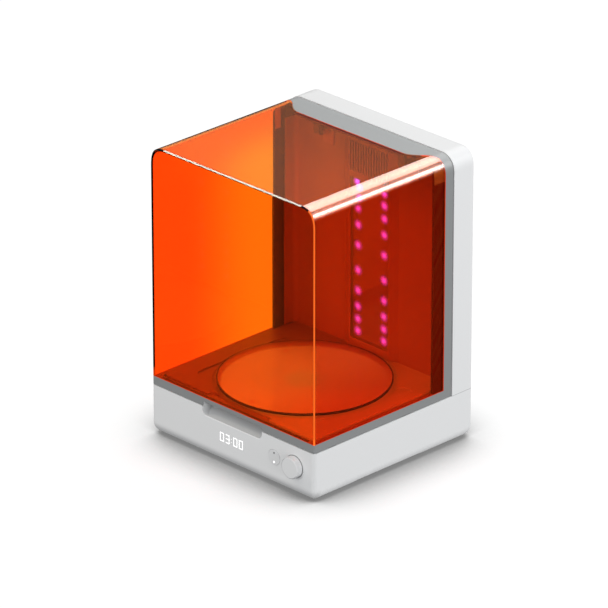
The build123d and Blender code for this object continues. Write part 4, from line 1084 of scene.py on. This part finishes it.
@dataclass
class Emitters(Scatter):
    """Light emitters: a square carrier with a clear dome."""

    flattened: ClassVar[Triple] = (1.0, 1.0, 0.75)
    side: float = 3.5 * MM
    carrier: float = 0.6 * MM
    dome: float = 1.35 * MM

    def form(self, graph: Graph, given: dict[str, Wire]) -> Wire:
        """One emitter, its carrier flush with the board.

        Args:
            graph: The geometry graph.
            given: Its inputs by name.

        Returns:
            The emitter.
        """
        side, thick = given["Side"], given["Carrier"]
        block = graph.node("GeometryNodeMeshCube", {"Size": graph.vector(side, side, thick)}).outputs[0]
        round_form = {"Segments": 20, "Rings": 10, "Radius": given["Dome"]}
        ball = graph.node("GeometryNodeMeshUVSphere", round_form).outputs[0]
        half = graph.product(thick, 0.5)
        return graph.joined(graph.raised(block, half), graph.raised(ball, half, self.flattened))


@dataclass
class Halos(Scatter):
    """Flat discs with a painted pool of light round each emitter."""

    reach: float = 8.5 * MM

    def form(self, graph: Graph, given: dict[str, Wire]) -> Wire:
        """One disc, with its glow attribute falling to its rim.

        Args:
            graph: The geometry graph.
            given: Its inputs by name.

        Returns:
            The disc.
        """
        reach = given["Reach"]
        disc = graph.node("GeometryNodeMeshCircle", {"Vertices": 32, "Radius": reach}, fill_type="TRIANGLE_FAN")
        spot = graph.node("GeometryNodeInputPosition").outputs[0]
        far = graph.node("ShaderNodeVectorMath", {0: spot}, operation="LENGTH").outputs["Value"]
        glow = graph.math("SUBTRACT", 1.0, graph.math("DIVIDE", far, reach))
        inputs = {"Geometry": disc.outputs[0], "Name": "glow", "Value": glow}
        kept = graph.node("GeometryNodeStoreNamedAttribute", inputs, data_type="FLOAT", domain="POINT")
        return kept.outputs[0]


# ---------------------------------------------------------------- sub-assemblies
Looks = dict[Finish, tuple[str, ...]]


@dataclass
class SubAssembly:
    """Part of the unit: CAD nodes with their finishes, and pieces of its own."""

    looks: ClassVar[Looks] = {}

    def build(self) -> None:
        """Dresses the CAD nodes, then adds the pieces."""
        for finish, names in self.looks.items():
            for name in names:
                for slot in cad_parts[name].material_slots:
                    slot.material = finish.material()
                LOG.info("%s: %s", name, finish.name)
        self.add()

    def add(self) -> None:
        """Adds nothing, where a sub-assembly has no pieces of its own."""


@dataclass
class Casing(SubAssembly):
    """White base and column with their covers and feet."""

    looks: ClassVar[Looks] = {
        WHITE_CASE: ("base_shell", "column_shell"),
        COVER_GREY: ("bottom_cover",),
        RUBBER: ("rubber_feet", "lid_bumpers"),
    }
    screw_head: float = 2.0 * MM
    screw_shank: float = 1.4 * MM

    def add(self) -> None:
        """Puts cross-recess screws in the place of the plain ones under the base."""
        boxes = islands("case_screws")
        places = [Vector((*((low + high) / 2).xy, low.z + self.screw_head)) for low, high in boxes]
        screws = Screws(
            "cover_screws", places, (math.pi, 0.0, 0.0), STEEL,
            head_radius=(boxes[0][1].x - boxes[0][0].x) / 2,
            head_height=self.screw_head,
            shank_radius=self.screw_shank,
            shank_length=max(high.z - low.z for low, high in boxes) - self.screw_head,
        ).build(Body.HOUSING, "screw_steel")
        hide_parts("case_screws")


@dataclass
class HoodShell:
    """Amber hood as one clear body: bent sheet, front plate, chamfered rim and curved rear edge."""

    half: float = 133.1 * MM
    low: float = 73.1 * MM
    top: float = 361.7 * MM
    front: float = -123.7 * MM
    side_end: float = 85.6 * MM
    canopy_end: float = 65.1 * MM
    canopy_half: float = 85.0 * MM
    sweep: float = 39.0 * MM
    wall: float = 3.0 * MM
    chamfer: float = 1.4 * MM
    blend: float = 27.0 * MM
    fullness: float = 3.1
    steps: int = 28
    canopy_steps: int = 6
    sweep_steps: int = 12
    corner_drop: float = 4.0 * MM

    def _profile(self, inset: float) -> list[Pair]:
        """Arch seen from the front, from the left foot over the top to the right foot.

        Args:
            inset: How far inside the outer skin it lies.

        Returns:
            Points across and up.
        """
        half, top, reach = self.half - inset, self.top - inset, self.blend - inset
        beside = half - reach - self.canopy_half
        flat = [self.canopy_half * k / self.canopy_steps for k in range(self.canopy_steps + 1)]
        flat += [self.canopy_half + beside * k / self.sweep_steps for k in range(1, self.sweep_steps)]
        right = [(x, top) for x in flat]
        for step in range(self.steps + 1):
            angle = math.pi / 2 * (1 - step / self.steps)
            x, z = math.cos(angle), math.sin(angle)
            scale = reach * (x ** self.fullness + z ** self.fullness) ** (-1 / self.fullness)
            right.append((half - reach + scale * x, top - reach + scale * z))
        right.append((half, self.low))
        return [(-x, z) for x, z in reversed(right[1:])] + right

    def _rear(self, x: float) -> float:
        """Finds where the sheet ends behind a place across the hood.

        Args:
            x: The place.

        Returns:
            The depth at which it ends.
        """
        share = min(max((abs(x) - self.canopy_half) / self.sweep, 0.0), 1.0)
        return self.canopy_end + (self.side_end - self.canopy_end) * share * share * (3 - 2 * share)

    def build(self) -> None:
        """Makes the hood and gives its cut edges their painted glow, with a stronger painted highlight on the
        chamfer down the right front edge.
        """
        form = bmesh.new()
        outer, inner, rim = (self._profile(inset) for inset in (0.0, self.wall, self.chamfer))
        places = (
            [(x, self.front, z) for x, z in rim],
            [(x, self.front + self.chamfer, z) for x, z in outer],
            [(x, self._rear(x), z) for x, z in outer],
            [(x, self._rear(x), z) for x, z in inner],
            [(x, self.front + self.wall, z) for x, z in inner],
        )
        rows = [[form.verts.new(place) for place in row] for row in places]
        chamfer, _, rear_edge, _ = loft(form, rows, closed=False)
        # Painted highlight on the chamfer down the right front edge and most of its bend, below the top.
        for face, here, after in zip(chamfer, rim, rim[1:]):
            if here[0] > self.half - self.blend and after[1] < self.top - self.corner_drop:
                face.material_index = 2
        form.faces.new(rows[0])
        form.faces.new(rows[-1])
        foot = form.faces.new([row[0] for row in reversed(rows)] + [row[-1] for row in rows])
        # The rear edge and the foot take the painted edge glow.
        for face in (*rear_edge, foot):
            face.material_index = 1
        mesh = finished(form, "hood_shell", (AMBER, AMBER_EDGE, AMBER_CORNER_HIGHLIGHT), crease=28.0)
        made = piece("hood_shell", mesh, Body.LID)
        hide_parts("hood_wrap", "hood_front")


@dataclass
class LipEdge:
    """Rounded front edge under the grip lip, with a cheek at each end of it."""

    half: float = 48.9 * MM
    front: float = -123.65 * MM
    top: float = 69.35 * MM
    bead_low: float = 66.95 * MM
    bead_back: float = -120.45 * MM
    bead_round: float = 1.3 * MM
    cheek: float = 1.6 * MM
    cheek_low: float = 62.9 * MM
    cheek_back: float = -108.5 * MM
    cheek_round: float = 1.2 * MM
    turns: int = 8

    def _rounded(self, low: float, back: float, radius: float) -> list[Pair]:
        """Side outline with both lower corners rounded.

        Args:
            low: Height of its lower side.
            back: Depth of its rear side.
            radius: Radius of the two corners.

        Returns:
            Points in depth and height.
        """
        outline = [(self.front, self.top)]
        for middle, start in ((self.front + radius, math.pi), (back - radius, 1.5 * math.pi)):
            for step in range(self.turns + 1):
                angle = start + math.pi / 2 * step / self.turns
                outline.append((middle + radius * math.cos(angle), low + radius + radius * math.sin(angle)))
        return outline + [(back, self.top)]

    def build(self) -> None:
        """Makes the edge and its cheeks, whose end faces are white: painted light where the cheek ends sit in
        shade under the lip.
        """
        form = bmesh.new()
        bead = self._rounded(self.bead_low, self.bead_back, self.bead_round)
        cheek = self._rounded(self.cheek_low, self.cheek_back, self.cheek_round)
        inner = self.half - self.cheek
        for outline, ends, span in (
            (bead, 0, (-inner, inner)),
            (cheek, 1, (-self.half, -inner)),
            (cheek, 1, (inner, self.half)),
        ):
            solid(form, [[(x, y, z) for y, z in outline] for x in span], ends=ends)
        # The white second finish on the cheek ends is painted light.
        mesh = finished(form, "lip_edge", (GREY_FRAME, WHITE_BUTTON), crease=35.0)
        piece("lip_edge", mesh, Body.LID)


@dataclass
class Lid(SubAssembly):
    """Amber hood in its grey frame."""

    looks: ClassVar[Looks] = {
        GREY_FRAME: ("lid_frame",),
        CLAMP_LIT_AND_SHADED: ("hood_clamp_plates",),
        BRACKET: ("hinge_leaves",),
        NICKEL: ("lid_magnet",),
    }

    def add(self) -> None:
        """Builds the hood and the lip's edge."""
        HoodShell().build()
        LipEdge().build()


@dataclass
class Chamber(SubAssembly):
    """Chamber floor, rear panel with the light tower, and turntable."""

    looks: ClassVar[Looks] = {
        CHAMBER_FLOOR: ("chamber_floor",),
        PAD_CLEAR: ("glide_pads",),
        PANEL: ("rear_panel",),
        WINDOW_CLEAR: ("led_window",),
        BOARD_WHITE: ("led_board",),
        ALUMINIUM: ("led_heat_sink",),
        BLACK_PLASTIC: ("fan_duct", "fan_frame", "fan_rotor", "lid_sensor"),
        BRACKET: ("hinge_brackets",),
        STEEL: ("hinge_pins", "turntable_motor"),
        HUB_GREY: ("turntable_hub",),
    }
    disc_chamfer: float = 0.4 * MM
    disc_band: float = 1.1 * MM
    disc_steps: int = 160
    halo_lift: float = 0.1 * MM

    def add(self) -> None:
        """Adds the lit emitters and the disc."""
        self._emitters()
        self._disc()

    def _disc(self) -> None:
        """Makes the glass disc with a dark rim and a dark band round its top, painted shade that stands in for
        the dark look of its glass edge.
        """
        low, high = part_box("turntable_disc")
        radius, edge = (high.x - low.x) / 2, self.disc_chamfer
        outline = (
            (radius - edge, low.z),
            (radius, low.z + edge),
            (radius, high.z - edge),
            (radius - edge, high.z),
            (radius - edge - self.disc_band, high.z),
        )
        form = bmesh.new()
        centre = ((low + high) / 2).xy
        rings = [[(x, y, z) for x, y in circle(centre, reach, self.disc_steps)] for reach, z in outline]
        solid(form, rings, sides=1)
        mesh = finished(form, "glass_disc", (DISC_GLASS, DISC_RIM_SHADE))
        disc = piece("glass_disc", mesh, Body.TURNTABLE)
        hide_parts("turntable_disc")

    def _emitters(self) -> None:
        """Sets a domed emitter and its painted pool of light at each place on the light board."""
        boxes = islands("led_emitters")
        face = boxes[0][1].y
        places = [Vector(((low.x + high.x) / 2, face, (low.z + high.z) / 2)) for low, high in boxes]
        to_front = (math.pi / 2, 0.0, 0.0)
        domes = Emitters("light_domes", places, to_front, EMITTER_LIGHT).build(Body.HOUSING, "led_emitter")
        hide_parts("led_emitters")
        lifted = [place - Vector((0.0, self.halo_lift, 0.0)) for place in places]
        Halos("light_halos", lifted, to_front, EMITTER_HALO).build(Body.HOUSING, "led_emitter")
        for finish in (EMITTER_LIGHT, EMITTER_HALO):
            finish.material().cycles.emission_sampling = "NONE"


class Segment(Enum):
    """Bars of a seven-bar digit: centre across, centre up, upright or level."""

    TOP = (0.5, 1.0, False)
    MIDDLE = (0.5, 0.5, False)
    BOTTOM = (0.5, 0.0, False)
    UPPER_LEFT = (0.0, 0.75, True)
    UPPER_RIGHT = (1.0, 0.75, True)
    LOWER_LEFT = (0.0, 0.25, True)
    LOWER_RIGHT = (1.0, 0.25, True)


DIGIT_BARS: dict[str, tuple[Segment, ...]] = {
    "0": tuple(bar for bar in Segment if bar is not Segment.MIDDLE),
    "3": (Segment.TOP, Segment.MIDDLE, Segment.BOTTOM, Segment.UPPER_RIGHT, Segment.LOWER_RIGHT),
}


@dataclass
class TimeDisplay(SubAssembly):
    """Time shown by seven-bar digits that shine through the front wall."""

    looks: ClassVar[Looks] = {DISPLAY_BLOCK: ("display_module",)}
    text: str = "03:00"
    height: float = 10.0 * MM
    width: float = 5.4 * MM
    stroke: float = 1.12 * MM
    overlap: float = 0.55
    dot: float = 1.05
    dot_levels: Pair = (0.3, 0.7)
    pitch: float = 9.1 * MM
    colon_gap: float = 3.9 * MM
    rise: Pair = (0.08 * MM, 0.01 * MM)
    centre: Pair = (-1.1 * MM, 34.0 * MM)

    def _bar(self, form: Form, x: float, z: float, long: float, upright: bool) -> None:
        """Adds one bar with pointed ends.

        Args:
            form: Mesh to add to.
            x: Centre across.
            z: Centre up.
            long: Length of the bar.
            upright: Whether it stands.
        """
        half, point = long / 2, self.stroke / 2
        neck = half - point
        outline = ((-half, 0), (-neck, point), (neck, point), (half, 0), (neck, -point), (-neck, -point))
        if upright:
            outline = [(across, along) for along, across in outline]
        face_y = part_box("base_shell")[0].y
        solid(form, [[(x + dx, face_y - out, z + dz) for dx, dz in outline] for out in self.rise])

    def add(self) -> None:
        """Makes the lit digits."""
        form = bmesh.new()
        span = (len(self.text) - 2) * self.pitch + self.colon_gap
        x = self.centre[0] - span / 2
        low = self.centre[1] - self.height / 2
        for sign in self.text:
            if sign == ":":
                x += (self.colon_gap - self.pitch) / 2
                for up in self.dot_levels:
                    self._bar(form, x, low + up * self.height, self.stroke * self.dot, True)
                x += (self.colon_gap + self.pitch) / 2
                continue
            for bar in DIGIT_BARS[sign]:
                across, up, upright = bar.value
                long = (self.height / 2 if upright else self.width) + self.stroke * self.overlap
                self._bar(form, x + (across - 0.5) * self.width, low + up * self.height, long, upright)
            x += self.pitch
        piece("time_digits", finished(form, "time_digits", (DIGIT_LIGHT,)), Body.HOUSING)


@dataclass
class Controls(SubAssembly):
    """Knob, start button and the parts behind them."""

    looks: ClassVar[Looks] = {
        WHITE_CONTROL: ("knob",),
        WHITE_BUTTON: ("start_button",),
        BUTTON_LIGHT: ("button_light_guide",),
        STEEL: ("encoder_shaft", "encoder_body"),
        BLACK_PLASTIC: ("button_switch",),
        BOARD_GREEN: ("front_board",),
    }
    dot_radius: float = 1.0 * MM
    dot_lift: float = 5.6 * MM
    dot_span: Pair = (-0.05 * MM, 0.1 * MM)
    dot_steps: int = 24

    def add(self) -> None:
        """Prints the small dark dot above the button's light."""
        low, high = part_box("start_button")
        centre = ((low.x + high.x) / 2, (low.z + high.z) / 2 + self.dot_lift)
        outline = circle(centre, self.dot_radius, self.dot_steps)
        form = bmesh.new()
        solid(form, [[(x, low.y + inwards, z) for x, z in outline] for inwards in self.dot_span])
        piece("button_dot", finished(form, "button_dot", (PRINT_DARK,)), Body.BUTTON)


@dataclass
class Electrics(SubAssembly):
    """Mains entry, switch and the boards in the base."""

    looks: ClassVar[Looks] = {
        INLET_BLACK: ("power_inlet",),
        BLACK_PLASTIC: ("switch_housing",),
        ROCKER_BLACK: ("power_rocker",),
        BOARD_GREEN: ("main_board",),
        BRASS: ("board_standoffs",),
        ALUMINIUM: ("power_supply",),
    }


# ---------------------------------------------------------------- studio
@dataclass(frozen=True)
class Softbox:
    """Rectangular lamp, whose width is level with the floor where no direction is given."""

    name: str
    place: Triple
    target: Triple
    size: Pair
    radiance: float
    along: Optional[Triple] = None
    colour: Colour = WHITE

    def build(self) -> None:
        """Adds the lamp."""
        data = bpy.data.lights.new(self.name, "AREA")
        data.shape = "RECTANGLE"
        data.size, data.size_y = self.size
        data.color = self.colour
        data.energy = self.radiance * math.pi * self.size[0] * self.size[1]
        lamp = linked(self.name, data)
        lamp.location = self.place
        back = (Vector(self.place) - Vector(self.target)).normalized()
        side = Vector(self.along) if self.along else Vector((0.0, 0.0, 1.0)).cross(back).normalized()
        lamp.rotation_euler = Matrix((side, back.cross(side), back)).transposed().to_euler()


@dataclass(frozen=True)
class LightBank:
    """Arched bank of lamps behind the unit: strips with start and end in degrees, and brightness."""

    radius: float = 1.805
    back: float = 1.5
    centre: Pair = (0.12, 0.35)
    height: float = 0.32
    strips: tuple[Triple, ...] = (
        (142.0, 132.0, 5.0),
        (132.0, 120.0, 7.5),
        (120.0, 108.0, 9.5),
        (108.0, 80.0, 10.5),
        (79.0, 72.0, 4.5),
        (70.5, 64.0, 3.5),
        (62.5, 52.0, 5.0),
        (51.0, 46.0, 8.0),
        (46.0, 24.0, 24.0),
        (24.0, 15.0, 11.0),
        (15.0, 6.0, 2.0),
    )

    def build(self) -> None:
        """Adds one lamp for each strip."""
        across, up = self.centre
        for number, (start, end, radiance) in enumerate(self.strips):
            middle = math.radians((start + end) / 2)
            x, z = math.cos(middle), math.sin(middle)
            place = (across + self.radius * x, self.back, up + self.radius * z)
            size = (self.radius * math.radians(start - end), self.height)
            Softbox(f"bank_{number}", place, (across, 0.0, up), size, radiance, (-z, 0.0, x)).build()


@dataclass
class Studio:
    """Pale floor, soft lamps, white surround and the camera."""

    camera_place: Triple = (4.5873, -4.5222, 3.0738)
    camera_target: Triple = (0.0574, -0.0653, 0.2061)
    lens: float = 364.15
    world_soft: float = 0.3
    world_gloss: float = 0.2
    world_through: float = 1.22
    floor_half: float = 12.0
    floor_soft: float = 0.5
    floor_gloss: float = 0.015
    floor_seen: float = 0.93
    floor_matt: Colour = (0.12, 0.12, 0.12)
    shadow_reach: float = 0.095
    shadow_curve: float = 1.8
    shadow_depth: float = 2.6
    shadow_least: float = 0.17
    shadow_bounced: float = 0.9
    lamps: tuple[Softbox, ...] = (
        Softbox("front_fill", (-0.2, -2.6, 0.9), (0.0, 0.0, 0.2), (1.3, 0.8), 5.8),
        Softbox("edge_light", (-1.6, -1.0, 1.9), (0.0, -0.12, 0.36), (0.5, 0.35), 18.0, None, (1.0, 0.92, 0.8)),
        Softbox("right_fill", (2.5, -0.5, 0.4), (0.1, 0.0, 0.1), (1.1, 0.9), 5.8),
        Softbox("top_fill", (0.2, -0.9, 2.6), (0.0, 0.0, 0.3), (1.4, 1.0), 1.8),
    )

    def build(self) -> None:
        """Sets up floor, surround, lamps and camera."""
        self._floor()
        self._surround()
        for part in (LightBank(), *self.lamps):
            part.build()
        self._camera()
        bpy.context.scene.view_settings.view_transform = "Standard"

    @staticmethod
    def _through_glass(graph: Graph, path: Node) -> Wire:
        """Mask of sight lines that have passed through glass and nothing matt."""
        first = graph.math("LESS_THAN", path.outputs["Diffuse Depth"], 0.5)
        return graph.product(path.outputs["Is Transmission Ray"], first)

    def _floor_shadow(self, graph: Graph, bounced: Wire) -> Wire:
        """Painted soft shadow where the unit stands, from an occlusion node.

        Args:
            graph: The floor's graph.
            bounced: Mask of light on its way from matt surfaces, which the shadow hardly holds back.

        Returns:
            The share of light that is left.
        """
        near = graph.node("ShaderNodeAmbientOcclusion", {"Distance": self.shadow_reach}, samples=12)
        covered = graph.math("SUBTRACT", 1.0, near.outputs["AO"])
        dark = graph.product(graph.math("POWER", covered, self.shadow_curve), self.shadow_depth)
        left = graph.math("MAXIMUM", graph.math("SUBTRACT", 1.0, dark), self.shadow_least)
        return graph.blend(bounced, left, self.shadow_bounced)

    def _floor(self) -> None:
        """Adds the floor: white to the eye, with a painted soft shadow where the unit stands over a faint real
        one from the lamps.
        """
        form = bmesh.new()
        bmesh.ops.create_grid(form, x_segments=1, y_segments=1, size=self.floor_half)
        mesh = bpy.data.meshes.new("studio_floor")
        form.to_mesh(mesh)
        form.free()
        floor = linked("studio_floor", mesh)
        made = bpy.data.materials.new("studio_floor")
        graph = emptied(made)
        path = graph.node("ShaderNodeLightPath")
        seen = path.outputs["Is Camera Ray"]
        level = graph.blend(path.outputs["Is Glossy Ray"], self.floor_soft, self.floor_gloss)
        level = graph.blend(self._through_glass(graph, path), level, self.world_through)
        level = graph.blend(seen, level, self.floor_seen)
        strength = graph.product(level, self._floor_shadow(graph, path.outputs["Is Diffuse Ray"]))
        glow = graph.node("ShaderNodeEmission", {"Color": WHITE, "Strength": strength}).outputs[0]
        tone = graph.mix(seen, BLACK, self.floor_matt)
        matt = graph.node("ShaderNodeBsdfDiffuse", {"Color": tone}).outputs[0]
        both = graph.node("ShaderNodeAddShader", {0: glow, 1: matt}).outputs[0]
        graph.node("ShaderNodeOutputMaterial", {"Surface": both})
        made.cycles.emission_sampling = "NONE"
        mesh.materials.append(made)

    def _surround(self) -> None:
        """Adds a surround that is white to the eye and through glass, softer as a light."""
        world = bpy.data.worlds.new("studio_surround")
        graph = emptied(world)
        path = graph.node("ShaderNodeLightPath")
        level = graph.blend(path.outputs["Is Glossy Ray"], self.world_soft, self.world_gloss)
        level = graph.blend(self._through_glass(graph, path), level, self.world_through)
        level = graph.blend(path.outputs["Is Camera Ray"], level, 1.0)
        light = graph.node("ShaderNodeBackground", {"Color": WHITE, "Strength": level})
        graph.node("ShaderNodeOutputWorld", {"Surface": light.outputs[0]})
        bpy.context.scene.world = world

    def _camera(self) -> None:
        """Adds the camera at the product view."""
        data = bpy.data.cameras.new("product_camera")
        data.lens = self.lens
        data.sensor_width = 36.0
        data.clip_end = 50.0
        camera = linked("product_camera", data)
        camera.location = self.camera_place
        sight = Vector(self.camera_target) - Vector(self.camera_place)
        camera.rotation_euler = sight.to_track_quat("-Z", "Y").to_euler()
        bpy.context.scene.camera = camera


def main() -> None:
    """Builds every sub-assembly in order."""
    logging.basicConfig(level=logging.INFO, format="%(message)s")
    for part in (Casing(), Lid(), Chamber(), TimeDisplay(), Controls(), Electrics(), Studio()):
        LOG.info("building %s", type(part).__name__)
        part.build()


if __name__ == "__main__":
    main()
